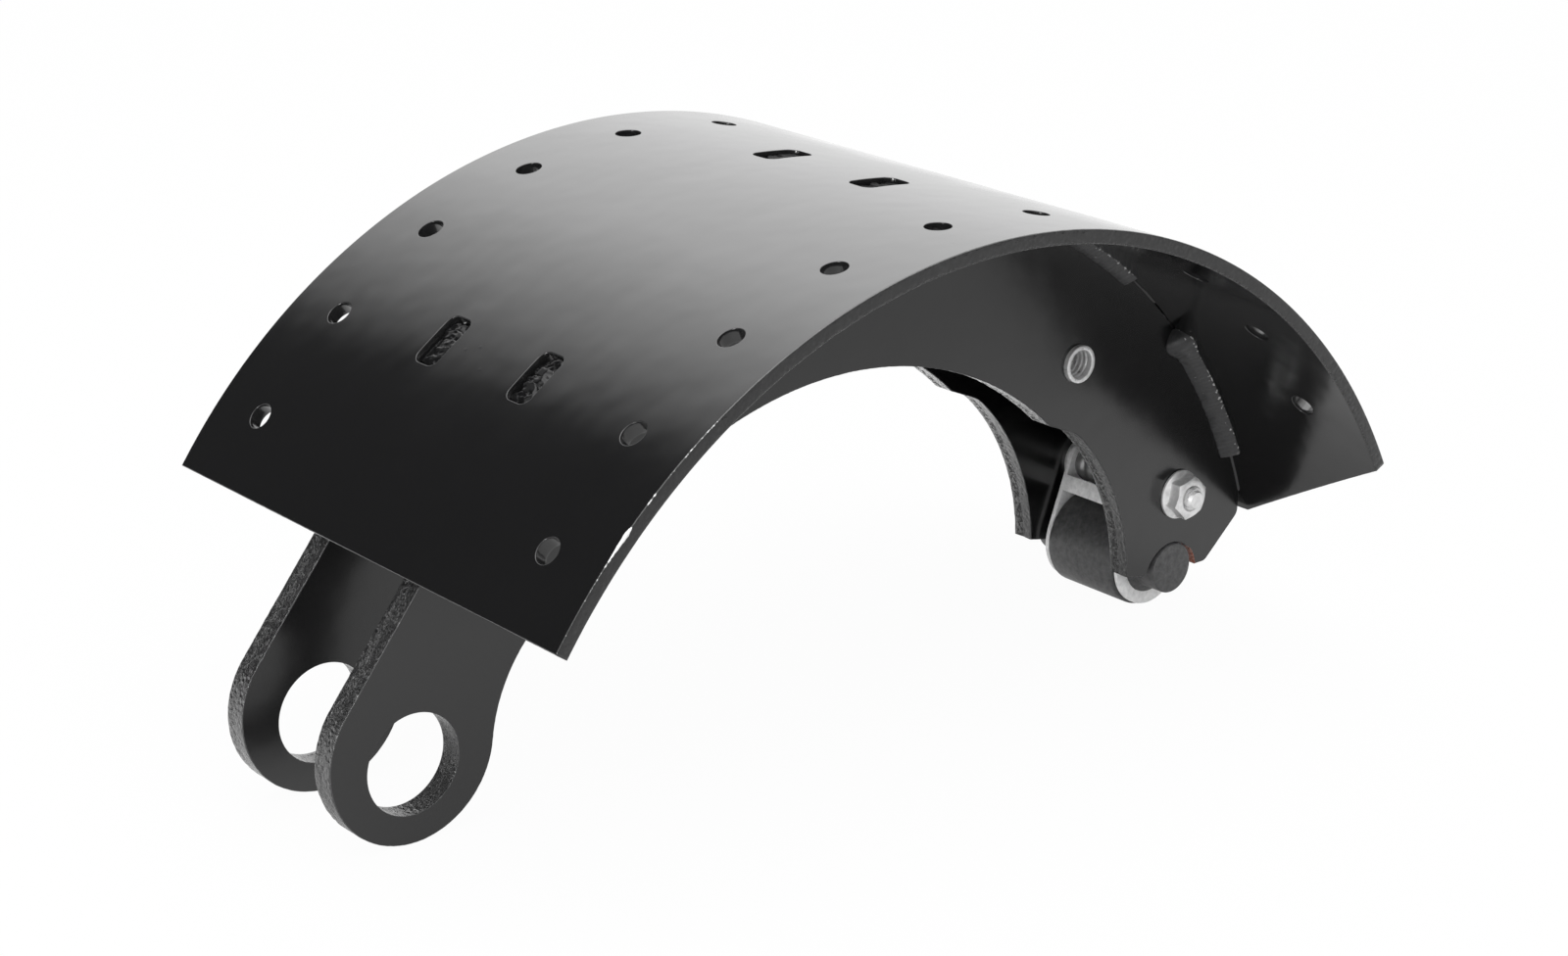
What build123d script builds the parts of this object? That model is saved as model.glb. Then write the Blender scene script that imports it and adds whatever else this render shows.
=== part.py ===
from build123d import *
import os
from math import asin, atan2, cos, degrees, hypot, radians, sin, sqrt

# Shoe of a heavy vehicle's S-cam drum brake, without its lining. A rolled table is welded to two
# flame-cut webs, which end in the anchor eyes at one end and carry the cam roller at the other.
# Lengths are millimetres and angles are degrees. The origin is the middle of the anchor bore,
# +Y runs along the bore and +Z is up. The shoe stands on its two eyes and its roller.
# In the shoe's own section u runs towards the cam end and v towards the crown of the table, both
# from the drum axis, and an angle runs from the crown towards the cam end.

# Table
TABLE_RADIUS = 190.0
TABLE_THICKNESS = 4.4
TABLE_WIDTH = 186.0
ANCHOR_END_ANGLE = -54.9
CAM_CORNER_ANGLE = 63.2
CAM_END_ANGLE = 74.7
CAM_END_WIDTH = 58.0

# Rivet holes for the lining, in two rows
RIVET_HOLE_DIAMETER = 8.0
RIVET_ROW_SPACING = 141.0
RIVET_COUNT = 10
RIVET_FIRST_ANGLE = -47.9
RIVET_PITCH_ANGLE = 11.6

# Slots over each web, and the tabs of the webs that sit in them
SLOT_ANGLES = (-35.0, 5.0, 45.0)
SLOT_WIDTH = 10.0
SLOT_LENGTH = 18.0
SLOT_CORNER_RADIUS = 3.0
SLOT_INNER_CLEARANCE = 1.5
TAB_END_CLEARANCE = 1.5
TAB_RECESS = 2.2

# Webs
WEB_THICKNESS = 8.0
WEB_GAP = 37.0
WEB_DEPTH = 57.4
WEB_ARC_SHIFT_U = -2.8
WEB_ARC_SHIFT_V = 6.4
WEB_ARC_END_ANGLE = -18.7
HEEL_ARC_RADIUS = 186.0
NOSE_ANGLE = 43.7
NOSE_FACE_LENGTH = 13.0
NOSE_FACE_SLOPE = -23.6
NOSE_ROUNDING = 3.0
NOSE_BLEND_RADIUS = 16.0
SCALLOP_RADIUS = 79.0

# Anchor eyes
ANCHOR_DEPTH = 24.3
ANCHOR_ANGLE = -70.5
ANCHOR_BORE_DIAMETER = 30.0
EYE_RADIUS = 26.8
EYE_RISE = 3.1
EYE_BLEND_RADIUS = 48.0

# Cam end of the webs, measured from the roller's axis
ROLLER_DEPTH = 40.95
ROLLER_ANGLE = 75.94
NOTCH_RADIUS = 12.0
LIP_REACH = 20.7
LIP_RISE = 1.7
LIP_DROP = 2.1
LIP_ROUNDING = 2.0
HOOK_REACH = 32.3
HOOK_DROP = 1.8
HOOK_TIP_WIDTH = 5.0
HOOK_SLOPE = 41.5
HOOK_TIP_ROUNDING = 3.5
HOOK_HEEL_ROUNDING = 4.0

# Cam roller, forged in one piece with its journals
ROLLER_RADIUS = 16.2
ROLLER_LENGTH = 30.0
ROLLER_EDGE_CHAMFER = 0.8
COLLAR_RADIUS = 11.0
COLLAR_LENGTH = 2.2
JOURNAL_RADIUS = 8.65
JOURNAL_END_CHAMFER = 0.5
JOURNAL_STANDOUT = 0.8
ROLLER_CLEARANCE = 0.05

# Roller bracket, bent from sheet
SHEET_THICKNESS = 1.5
BRACKET_SIDE_CLEARANCE = 0.4
BRACKET_LOWER_RADIUS = 15.3
BRACKET_UPPER_RADIUS = 8.0
BRIDGE_HEIGHT = 16.2
BRIDGE_WIDTH = 5.4
BRIDGE_BEND_RADIUS = 1.2

# Bracket bolt, its nut, spacer tube and washers
BOLT_OFFSET_U = 2.1
BOLT_OFFSET_V = 25.8
BOLT_DIAMETER = 8.0
BOLT_HOLE_DIAMETER = 8.6
BOLT_STANDOUT = 1.2
BOLT_END_CHAMFER = 0.8
HEX_ACROSS_FLATS = 13.0
HEX_TURN = 17.0
FLANGE_RADIUS = 8.3
FLANGE_RIM = 1.0
FLANGE_HEIGHT = 2.2
NUT_HEIGHT = 6.4
BOLT_HEAD_HEIGHT = 6.6
SPACER_RADIUS = 6.5

# Sleeve that takes the hook of the return spring
SLEEVE_DEPTH = 37.3
SLEEVE_ANGLE = 39.7
SLEEVE_RADIUS = 6.15
SLEEVE_BORE_DIAMETER = 9.3
SLEEVE_STANDOUT = 1.6
SLEEVE_CHAMFER = 0.5

# Welds
WELD_LEG = 4.0
WELD_CROWN = 0.4
WELD_SLOT_GAP_ANGLE = 4.5
WELD_START_ANGLE = -52.0
WELD_END_ANGLE = 67.7
TAB_WELD_LENGTH = 9.0
TAB_WELD_EDGE = 1.2
TAB_WELD_CROWN = 0.6


def polar(radius, angle):
    """Point (u, v) of the shoe's section at a radius from the drum axis."""
    return (radius * sin(radians(angle)), radius * cos(radians(angle)))


def step(start, length, heading):
    """Point at a distance from another one, with the heading counted from +u towards +v."""
    return (start[0] + length * cos(radians(heading)), start[1] + length * sin(radians(heading)))


def heading_of(start, end):
    """Heading from one point to another."""
    return degrees(atan2(end[1] - start[1], end[0] - start[0]))


def gap_between(start, end):
    """Distance between two points."""
    return hypot(end[0] - start[0], end[1] - start[1])


def meeting_point(first, first_radius, second, second_radius):
    """Where two circles cross, on the left on the way from the first centre to the second."""
    span = gap_between(first, second)
    along = (first_radius**2 - second_radius**2 + span**2) / (2 * span)
    side = sqrt(first_radius**2 - along**2)
    foot = step(first, along, heading_of(first, second))
    return step(foot, side, heading_of(first, second) + 90)


# --- Places in the shoe's section ---

rim_radius = TABLE_RADIUS - TABLE_THICKNESS
web_outer_y = WEB_GAP / 2 + WEB_THICKNESS
anchor = polar(TABLE_RADIUS - ANCHOR_DEPTH, ANCHOR_ANGLE)
eye = (anchor[0], anchor[1] + EYE_RISE)
roller = polar(TABLE_RADIUS - ROLLER_DEPTH, ROLLER_ANGLE)
bolt = (roller[0] + BOLT_OFFSET_U, roller[1] + BOLT_OFFSET_V)
sleeve = polar(TABLE_RADIUS - SLEEVE_DEPTH, SLEEVE_ANGLE)

# The shoe is turned about the drum axis until its eyes and its roller stand on one level.
seat_turn = degrees(asin((ROLLER_RADIUS - EYE_RADIUS) / gap_between(eye, roller)))
seat_turn -= heading_of(eye, roller)
anchor_turned = step((0, 0), gap_between((0, 0), anchor), heading_of((0, 0), anchor) + seat_turn)
drum_x = -anchor_turned[0]
drum_z = -anchor_turned[1]
u_direction = (cos(radians(seat_turn)), 0, sin(radians(seat_turn)))


def section_plane(y):
    """Plane of the shoe's section at a distance along the drum axis, facing -Y."""
    return Plane(origin=(drum_x, y, drum_z), x_dir=u_direction, z_dir=(0, -1, 0))


def place(point, y):
    """Part coordinates of a point of the shoe's section."""
    return section_plane(y).from_local_coords((point[0], point[1], 0))


def radial_plane(angle, y):
    """Plane that touches the table's outer face, with x along the drum axis."""
    outward = step((0, 0), 1, 90 - angle + seat_turn)
    return Plane(
        origin=place(polar(TABLE_RADIUS, angle), y),
        x_dir=(0, 1, 0),
        z_dir=(outward[0], 0, outward[1]),
    )


def axial_plane(point):
    """Plane along the drum axis through a point of the section, with x along +Y and y upwards."""
    return Plane(origin=place(point, 0), x_dir=(0, 1, 0), z_dir=(1, 0, 0))


def along_y(point):
    """Axis through a point of the section, parallel to the drum axis."""
    return Axis(origin=place(point, 0), direction=(0, 1, 0))


# --- Table ---

slot_y = WEB_GAP / 2 - SLOT_INNER_CLEARANCE + SLOT_WIDTH / 2
rivet_angles = [RIVET_FIRST_ANGLE + RIVET_PITCH_ANGLE * number for number in range(RIVET_COUNT)]
corner_middle_angle = (CAM_CORNER_ANGLE + CAM_END_ANGLE) / 2
corner_half_length = TABLE_RADIUS * sin(radians(CAM_END_ANGLE - CAM_CORNER_ANGLE) / 2)
corner_depth = TABLE_WIDTH / 2 - CAM_END_WIDTH / 2

with BuildPart() as shoe_table:
    with BuildSketch(section_plane(0)):
        with BuildLine():
            CenterArc((0, 0), TABLE_RADIUS, 90 - CAM_END_ANGLE, CAM_END_ANGLE - ANCHOR_END_ANGLE)
            CenterArc((0, 0), rim_radius, 90 - CAM_END_ANGLE, CAM_END_ANGLE - ANCHOR_END_ANGLE)
            for end_angle in (ANCHOR_END_ANGLE, CAM_END_ANGLE):
                Line(polar(rim_radius, end_angle), polar(TABLE_RADIUS, end_angle))
        make_face()
    extrude(amount=TABLE_WIDTH / 2, both=True)

    # The cam end is sheared to a narrower edge, with a straight cut across each corner.
    for side in (-1, 1):
        with BuildSketch(radial_plane(corner_middle_angle, side * CAM_END_WIDTH / 2)):
            with BuildLine():
                Polyline(
                    (0, -corner_half_length),
                    (side * corner_depth, corner_half_length),
                    (side * 2 * corner_depth, corner_half_length),
                    (side * 2 * corner_depth, -2 * corner_half_length),
                    (0, -2 * corner_half_length),
                    close=True,
                )
            make_face()
        extrude(amount=2 * TABLE_THICKNESS, both=True, mode=Mode.SUBTRACT)

    rivet_planes = [
        radial_plane(angle, row * RIVET_ROW_SPACING / 2) for row in (-1, 1) for angle in rivet_angles
    ]
    with BuildSketch(*rivet_planes):
        Circle(RIVET_HOLE_DIAMETER / 2)
    extrude(amount=2 * TABLE_THICKNESS, both=True, mode=Mode.SUBTRACT)

    slot_planes = [radial_plane(angle, row * slot_y) for row in (-1, 1) for angle in SLOT_ANGLES]
    with BuildSketch(*slot_planes):
        RectangleRounded(SLOT_WIDTH, SLOT_LENGTH, SLOT_CORNER_RADIUS)
    extrude(amount=2 * TABLE_THICKNESS, both=True, mode=Mode.SUBTRACT)

shoe_table.part.label = "shoe_table"

# --- Webs ---

# Anchor end: a straight flank runs from the table to the eye, and a hollow blend leads back.
flank_top = polar(rim_radius, ANCHOR_END_ANGLE)
flank_turn = degrees(asin(EYE_RADIUS / gap_between(flank_top, eye)))
flank_heading = heading_of(flank_top, eye) - flank_turn
flank_foot = step(eye, EYE_RADIUS, flank_heading - 90)

# Inner edge: one arc from the nose to the crown, then a flatter one as far as the eye.
web_arc_radius = rim_radius - WEB_DEPTH
web_arc = (WEB_ARC_SHIFT_U, WEB_ARC_SHIFT_V)
nose = step(web_arc, web_arc_radius, 90 - NOSE_ANGLE)
arc_join = step(web_arc, web_arc_radius, 90 - WEB_ARC_END_ANGLE)
heel_arc = step(arc_join, -HEEL_ARC_RADIUS, 90 - WEB_ARC_END_ANGLE)
eye_blend = meeting_point(
    eye, EYE_RADIUS + EYE_BLEND_RADIUS, heel_arc, HEEL_ARC_RADIUS - EYE_BLEND_RADIUS
)
blend_start = step(eye, EYE_RADIUS, heading_of(eye, eye_blend))
blend_end = step(eye_blend, EYE_BLEND_RADIUS, heading_of(heel_arc, eye_blend))

# Cam end: nose, scallop, lip, the half-round notch over the roller's journal, and the hook.
scallop_top = step(nose, NOSE_FACE_LENGTH, NOSE_FACE_SLOPE)
notch = (roller[0], roller[1] + JOURNAL_RADIUS + ROLLER_CLEARANCE - NOTCH_RADIUS)
lip_tip = (roller[0] - LIP_REACH, roller[1] + LIP_RISE)
lip_foot_v = lip_tip[1] - LIP_DROP
lip_foot = (notch[0] - sqrt(NOTCH_RADIUS**2 - (lip_foot_v - notch[1]) ** 2), lip_foot_v)
hook_tip_v = roller[1] - HOOK_DROP
hook_tip = (notch[0] + sqrt(NOTCH_RADIUS**2 - (hook_tip_v - notch[1]) ** 2), hook_tip_v)
hook_toe = (hook_tip[0] + HOOK_TIP_WIDTH, hook_tip_v)
hook_heel_u = roller[0] + HOOK_REACH
hook_rise = (hook_heel_u - hook_toe[0]) * sin(radians(HOOK_SLOPE)) / cos(radians(HOOK_SLOPE))
hook_heel = (hook_heel_u, hook_toe[1] + hook_rise)
hook_top = (hook_heel_u, sqrt(rim_radius**2 - hook_heel_u**2))
tab_top_radius = TABLE_RADIUS - TAB_RECESS
tab_length = SLOT_LENGTH - 2 * TAB_END_CLEARANCE


def arc_about(centre, start, end, clockwise):
    """Arc about a centre from one point to another."""
    first = heading_of(centre, start)
    sweep = (heading_of(centre, end) - first) % 360
    return CenterArc(centre, gap_between(centre, start), first, sweep - 360 if clockwise else sweep)


def build_web(name, outer_y):
    """One web. The outer face lies at outer_y, and the web reaches from there towards the middle."""
    thickness = WEB_THICKNESS if outer_y > 0 else -WEB_THICKNESS
    with BuildPart() as web:
        with BuildSketch(section_plane(outer_y)):
            with BuildLine():
                Line(flank_top, flank_foot)
                arc_about(eye, flank_foot, blend_start, clockwise=False)
                arc_about(eye_blend, blend_start, blend_end, clockwise=True)
                arc_about(heel_arc, blend_end, arc_join, clockwise=True)
                arc_about(web_arc, arc_join, nose, clockwise=True)
                Line(nose, scallop_top)
                RadiusArc(scallop_top, lip_tip, SCALLOP_RADIUS)
                Line(lip_tip, lip_foot)
                arc_about(notch, lip_foot, hook_tip, clockwise=True)
                Line(hook_tip, hook_toe)
                Line(hook_toe, hook_heel)
                Line(hook_heel, hook_top)
                arc_about((0, 0), hook_top, flank_top, clockwise=False)
            make_face()
            roundings = (
                (nose, NOSE_ROUNDING),
                (scallop_top, NOSE_BLEND_RADIUS),
                (lip_foot, LIP_ROUNDING),
                (hook_toe, HOOK_TIP_ROUNDING),
                (hook_heel, HOOK_HEEL_ROUNDING),
            )
            for corner, radius in roundings:
                fillet(vertices().sort_by_distance(corner)[0], radius)
            for angle in SLOT_ANGLES:
                middle = polar(tab_top_radius - WEB_THICKNESS / 2, angle)
                with Locations(Location((middle[0], middle[1], 0), (0, 0, -angle))):
                    Rectangle(tab_length, WEB_THICKNESS)
            for centre, diameter in (
                (anchor, ANCHOR_BORE_DIAMETER),
                (sleeve, 2 * SLEEVE_RADIUS),
                (bolt, BOLT_HOLE_DIAMETER),
            ):
                with Locations(centre):
                    Circle(diameter / 2, mode=Mode.SUBTRACT)
        extrude(amount=thickness)
    web.part.label = name
    return web.part


webs = [build_web("web_near", -web_outer_y), build_web("web_far", web_outer_y)]

# --- Welds ---

# Fillet welds lie along the outer foot of each web and stop short of the slots.
weld_limits = [WELD_START_ANGLE]
for angle in SLOT_ANGLES:
    weld_limits += [angle - WELD_SLOT_GAP_ANGLE, angle + WELD_SLOT_GAP_ANGLE]
weld_limits.append(WELD_END_ANGLE)


def build_weld(name, side, start_angle, end_angle):
    """One fillet weld in the corner between a web and the table, side -1 near and +1 far."""
    with BuildPart() as weld:
        start = section_plane(0)
        outward = step((0, 0), 1, 90 - start_angle + seat_turn)
        with BuildSketch(
            Plane(origin=start.origin, x_dir=(0, 1, 0), z_dir=(outward[1], 0, -outward[0]))
        ):
            root_y = side * web_outer_y
            toe_y = side * (web_outer_y + WELD_LEG)
            crown_y = side * (web_outer_y + WELD_LEG / 2 + WELD_CROWN)
            with BuildLine():
                Polyline(
                    (root_y, rim_radius - WELD_LEG),
                    (root_y, rim_radius),
                    (toe_y, rim_radius),
                    (crown_y, rim_radius - WELD_LEG / 2 - WELD_CROWN),
                    close=True,
                )
            make_face()
        revolve(axis=along_y((0, 0)), revolution_arc=end_angle - start_angle)
    weld.part.label = name
    return weld.part


def build_tab_weld(name, side, angle):
    """One short weld across a slot, over the web's tab and down both of its sides."""
    outward = step((0, 0), 1, 90 - angle + seat_turn)
    middle = Plane(
        origin=(drum_x, side * slot_y, drum_z), x_dir=(0, 1, 0), z_dir=(outward[1], 0, -outward[0])
    )
    half_width = SLOT_WIDTH / 2
    edge_radius = tab_top_radius + TAB_WELD_EDGE - TAB_WELD_CROWN
    tab_y = side * (WEB_GAP / 2 + WEB_THICKNESS / 2 - slot_y)
    with BuildPart() as weld:
        with BuildSketch(middle):
            with BuildLine():
                Polyline(
                    (half_width, edge_radius),
                    (half_width, rim_radius),
                    (-half_width, rim_radius),
                    (-half_width, edge_radius),
                )
                ThreePointArc(
                    (-half_width, edge_radius),
                    (0, tab_top_radius + TAB_WELD_EDGE),
                    (half_width, edge_radius),
                )
            make_face()
            with Locations((tab_y, tab_top_radius - WEB_THICKNESS / 2)):
                Rectangle(WEB_THICKNESS, WEB_THICKNESS, mode=Mode.SUBTRACT)
        extrude(amount=TAB_WELD_LENGTH / 2, both=True)
    weld.part.label = name
    return weld.part


welds = []
for side, side_name in ((-1, "near"), (1, "far")):
    for number in range(len(SLOT_ANGLES) + 1):
        start_angle, end_angle = weld_limits[2 * number : 2 * number + 2]
        welds.append(build_weld(f"web_weld_{side_name}_{number + 1}", side, start_angle, end_angle))
    for number, angle in enumerate(SLOT_ANGLES):
        welds.append(build_tab_weld(f"tab_weld_{side_name}_{number + 1}", side, angle))

# --- Return spring sleeve ---

with BuildPart() as return_spring_sleeve:
    with BuildSketch(section_plane(0)):
        with Locations(sleeve):
            Circle(SLEEVE_RADIUS)
            Circle(SLEEVE_BORE_DIAMETER / 2, mode=Mode.SUBTRACT)
    extrude(amount=web_outer_y + SLEEVE_STANDOUT, both=True)
    chamfer(edges().filter_by(GeomType.CIRCLE), SLEEVE_CHAMFER)
return_spring_sleeve.part.label = "return_spring_sleeve"

# --- Cam roller ---

journal_end = web_outer_y + JOURNAL_STANDOUT
collar_end = ROLLER_LENGTH / 2 + COLLAR_LENGTH
collar_taper = COLLAR_RADIUS - JOURNAL_RADIUS
journal_start = min(collar_end + collar_taper, WEB_GAP / 2)

with BuildPart() as cam_roller:
    with BuildSketch(axial_plane(roller)):
        with BuildLine():
            Polyline(
                (0, 0),
                (0, ROLLER_RADIUS),
                (ROLLER_LENGTH / 2 - ROLLER_EDGE_CHAMFER, ROLLER_RADIUS),
                (ROLLER_LENGTH / 2, ROLLER_RADIUS - ROLLER_EDGE_CHAMFER),
                (ROLLER_LENGTH / 2, COLLAR_RADIUS),
                (collar_end, COLLAR_RADIUS),
                (journal_start, JOURNAL_RADIUS),
                (journal_end - JOURNAL_END_CHAMFER, JOURNAL_RADIUS),
                (journal_end, JOURNAL_RADIUS - JOURNAL_END_CHAMFER),
                (journal_end, 0),
                (0, 0),
            )
        make_face()
        mirror(about=Plane.YZ)
    revolve(axis=along_y(roller))
cam_roller.part.label = "cam_roller"

# --- Roller bracket ---

# Each cheek is a disc around the roller's collar and one around the bolt, joined by straight edges.
cheek_inner_y = ROLLER_LENGTH / 2 + BRACKET_SIDE_CLEARANCE
cheek_outer_y = cheek_inner_y + SHEET_THICKNESS
cheek_heading = heading_of(roller, bolt)
edge_turn = degrees(asin((BRACKET_LOWER_RADIUS - BRACKET_UPPER_RADIUS) / gap_between(roller, bolt)))
left_foot = step(roller, BRACKET_LOWER_RADIUS, cheek_heading + 90 - edge_turn)
left_head = step(bolt, BRACKET_UPPER_RADIUS, cheek_heading + 90 - edge_turn)
right_foot = step(roller, BRACKET_LOWER_RADIUS, cheek_heading - 90 + edge_turn)
right_head = step(bolt, BRACKET_UPPER_RADIUS, cheek_heading - 90 + edge_turn)
edge_heading = heading_of(left_foot, left_head)
bridge_foot = step(left_foot, BRIDGE_HEIGHT - BRIDGE_WIDTH / 2, edge_heading)
bridge_head = step(bridge_foot, BRIDGE_WIDTH, edge_heading)

with BuildPart() as roller_bracket:
    for side in (-1, 1):
        with BuildSketch(section_plane(side * cheek_outer_y)):
            with BuildLine():
                Polyline(left_foot, left_head, right_head, right_foot, close=True)
            make_face()
            with Locations(roller):
                Circle(BRACKET_LOWER_RADIUS)
                Circle(COLLAR_RADIUS + ROLLER_CLEARANCE, mode=Mode.SUBTRACT)
            with Locations(bolt):
                Circle(BRACKET_UPPER_RADIUS)
                Circle(BOLT_HOLE_DIAMETER / 2, mode=Mode.SUBTRACT)
        extrude(amount=side * SHEET_THICKNESS)

    # The bridge joins the cheeks along their edges behind the roller.
    with BuildSketch(section_plane(0)):
        with BuildLine():
            Polyline(
                bridge_foot,
                bridge_head,
                step(bridge_head, SHEET_THICKNESS, edge_heading - 90),
                step(bridge_foot, SHEET_THICKNESS, edge_heading - 90),
                close=True,
            )
        make_face()
    extrude(amount=cheek_outer_y, both=True)
    bend_corners = edges().filter_by(
        lambda edge: edge.geom_type == GeomType.LINE
        and abs(edge.length - BRIDGE_WIDTH) < 0.01
        and abs(abs(edge.center().Y) - cheek_inner_y) < 0.01
    )
    fillet(bend_corners, BRIDGE_BEND_RADIUS)
roller_bracket.part.label = "roller_bracket"

# --- Bracket bolt and its fittings ---

with BuildPart() as bracket_spacer:
    with BuildSketch(section_plane(0)):
        with Locations(bolt):
            Circle(SPACER_RADIUS)
            Circle(BOLT_HOLE_DIAMETER / 2, mode=Mode.SUBTRACT)
    extrude(amount=cheek_inner_y, both=True)
bracket_spacer.part.label = "bracket_spacer"

washers = []
for side, side_name in ((-1, "near"), (1, "far")):
    with BuildPart() as washer:
        with BuildSketch(section_plane(side * WEB_GAP / 2)):
            with Locations(bolt):
                Circle(BRACKET_UPPER_RADIUS)
                Circle(BOLT_HOLE_DIAMETER / 2, mode=Mode.SUBTRACT)
        extrude(amount=side * (WEB_GAP / 2 - cheek_outer_y))
    washer.part.label = f"bracket_washer_{side_name}"
    washers.append(washer.part)


with BuildPart() as bracket_nut:
    with BuildSketch(section_plane(-web_outer_y)):
        with Locations(bolt):
            RegularPolygon(HEX_ACROSS_FLATS / 2, 6, major_radius=False, rotation=HEX_TURN)
    extrude(amount=NUT_HEIGHT)
    with BuildSketch(axial_plane(bolt)):
        with BuildLine():
            Polyline(
                (-web_outer_y, 0),
                (-web_outer_y, FLANGE_RADIUS),
                (-web_outer_y - FLANGE_RIM, FLANGE_RADIUS),
                (-web_outer_y - FLANGE_HEIGHT, HEX_ACROSS_FLATS / 2),
                (-web_outer_y - FLANGE_HEIGHT, 0),
                close=True,
            )
        make_face()
    revolve(axis=along_y(bolt))
    with BuildSketch(section_plane(-web_outer_y)):
        with Locations(bolt):
            Circle(BOLT_DIAMETER / 2)
    extrude(amount=NUT_HEIGHT, mode=Mode.SUBTRACT)
bracket_nut.part.label = "bracket_nut"

with BuildPart() as bracket_bolt:
    with BuildSketch(section_plane(web_outer_y)):
        with Locations(bolt):
            RegularPolygon(HEX_ACROSS_FLATS / 2, 6, major_radius=False, rotation=HEX_TURN)
    extrude(amount=-BOLT_HEAD_HEIGHT)
    with BuildSketch(axial_plane(bolt)):
        with BuildLine():
            Polyline(
                (web_outer_y, 0),
                (web_outer_y, FLANGE_RADIUS),
                (web_outer_y + FLANGE_RIM, FLANGE_RADIUS),
                (web_outer_y + FLANGE_HEIGHT, HEX_ACROSS_FLATS / 2),
                (web_outer_y + FLANGE_HEIGHT, 0),
                close=True,
            )
        make_face()
    revolve(axis=along_y(bolt))
    with BuildSketch(section_plane(web_outer_y)):
        with Locations(bolt):
            Circle(BOLT_DIAMETER / 2)
    extrude(amount=2 * web_outer_y + NUT_HEIGHT + BOLT_STANDOUT)
    chamfer(faces().sort_by(Axis.Y)[0].edges(), BOLT_END_CHAMFER)
bracket_bolt.part.label = "bracket_bolt"

# --- One file for each piece ---

pieces = [shoe_table.part, *webs, *welds, return_spring_sleeve.part, cam_roller.part]
pieces += [roller_bracket.part, bracket_spacer.part, *washers, bracket_nut.part, bracket_bolt.part]
os.makedirs("parts", exist_ok=True)
for piece in pieces:
    export_step(piece, f"parts/{piece.label}.step")
print("seat turn", round(seat_turn, 3), "drum axis", round(drum_x, 3), round(drum_z, 3))
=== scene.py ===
from math import cos, hypot, pi, radians, sin

import bmesh
import bpy
from mathutils import Matrix, Vector, geometry, kdtree, noise


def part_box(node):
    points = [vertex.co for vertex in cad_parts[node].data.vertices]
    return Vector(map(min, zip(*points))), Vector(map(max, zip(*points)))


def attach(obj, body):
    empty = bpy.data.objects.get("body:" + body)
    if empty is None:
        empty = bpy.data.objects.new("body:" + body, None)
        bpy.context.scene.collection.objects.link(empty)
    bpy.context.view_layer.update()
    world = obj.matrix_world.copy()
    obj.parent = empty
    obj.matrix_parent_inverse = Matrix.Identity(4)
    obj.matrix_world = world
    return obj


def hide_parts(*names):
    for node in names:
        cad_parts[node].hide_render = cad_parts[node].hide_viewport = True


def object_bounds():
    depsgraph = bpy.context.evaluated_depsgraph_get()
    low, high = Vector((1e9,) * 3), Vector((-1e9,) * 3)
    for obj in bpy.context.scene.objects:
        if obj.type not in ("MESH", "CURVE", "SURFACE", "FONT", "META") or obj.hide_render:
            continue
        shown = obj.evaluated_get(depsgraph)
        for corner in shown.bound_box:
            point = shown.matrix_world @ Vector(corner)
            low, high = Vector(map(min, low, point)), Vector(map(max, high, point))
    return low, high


# A shoe of a heavy vehicle's drum brake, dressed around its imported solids. Lengths are metres.
# The origin is the middle of the anchor bore, +Y runs along the bore and +Z is up.
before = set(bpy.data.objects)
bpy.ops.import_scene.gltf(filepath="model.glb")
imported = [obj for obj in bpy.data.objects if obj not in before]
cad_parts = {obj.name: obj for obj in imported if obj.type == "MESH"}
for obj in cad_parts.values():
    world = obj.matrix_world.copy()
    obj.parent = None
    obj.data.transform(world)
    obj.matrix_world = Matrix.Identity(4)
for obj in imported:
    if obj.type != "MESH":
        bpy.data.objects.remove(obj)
cad_box = [list(corner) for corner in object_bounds()]
scene = bpy.context.scene
scene.view_settings.view_transform = "Standard"

# --- Table ---
# The curved plate that the lining is riveted to: mild steel, sheared to size, punched with two rows
# of rivet holes and three pairs of slots, then rolled. It is painted gloss black with the webs on.

MM = 0.001
TABLE_OUTER_RADIUS = 190.0 * MM
TABLE_GAUGE = 4.4 * MM
TABLE_HALF_WIDTH = 93 * MM
TABLE_EDGE_ROUNDING = 0.45 * MM
TABLE_RIM_SPACING = 1.0 * MM
TABLE_FACE_SPACING = 3.0 * MM
# The drum's axis, and the turn of the shoe about it that sets the eyes and the roller on the floor
DRUM_AXIS = Vector((158.21 * MM, 0, -49.254 * MM))
SEAT_TURN = radians(2.207)
HOLE_ROUGHNESS_SHARE = 0.15
HOLE_ROUNDING_SHARE = 0.5
ROUNDING_STEPS = 4
EDGE_FLAT = 0.15 * MM
FACE_TOLERANCE = 0.01 * MM
CAD_MERGE = 0.001 * MM
PLATE_MERGE = 0.003 * MM
# The depths in a flame-cut plate where its gouges start, are full, stay full and end, and the
# stretch from the eyes over which they come in
GOUGE_BAND = (3.6 * MM, 4.2 * MM, 6.0 * MM, 6.8 * MM)
GOUGE_FADE = (40 * MM, 120 * MM)
# How much lighter the smooth half of a cut edge is drawn, as a painted sheen
SMOOTH_HALF_SHEEN_SHARE = 0.45
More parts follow.
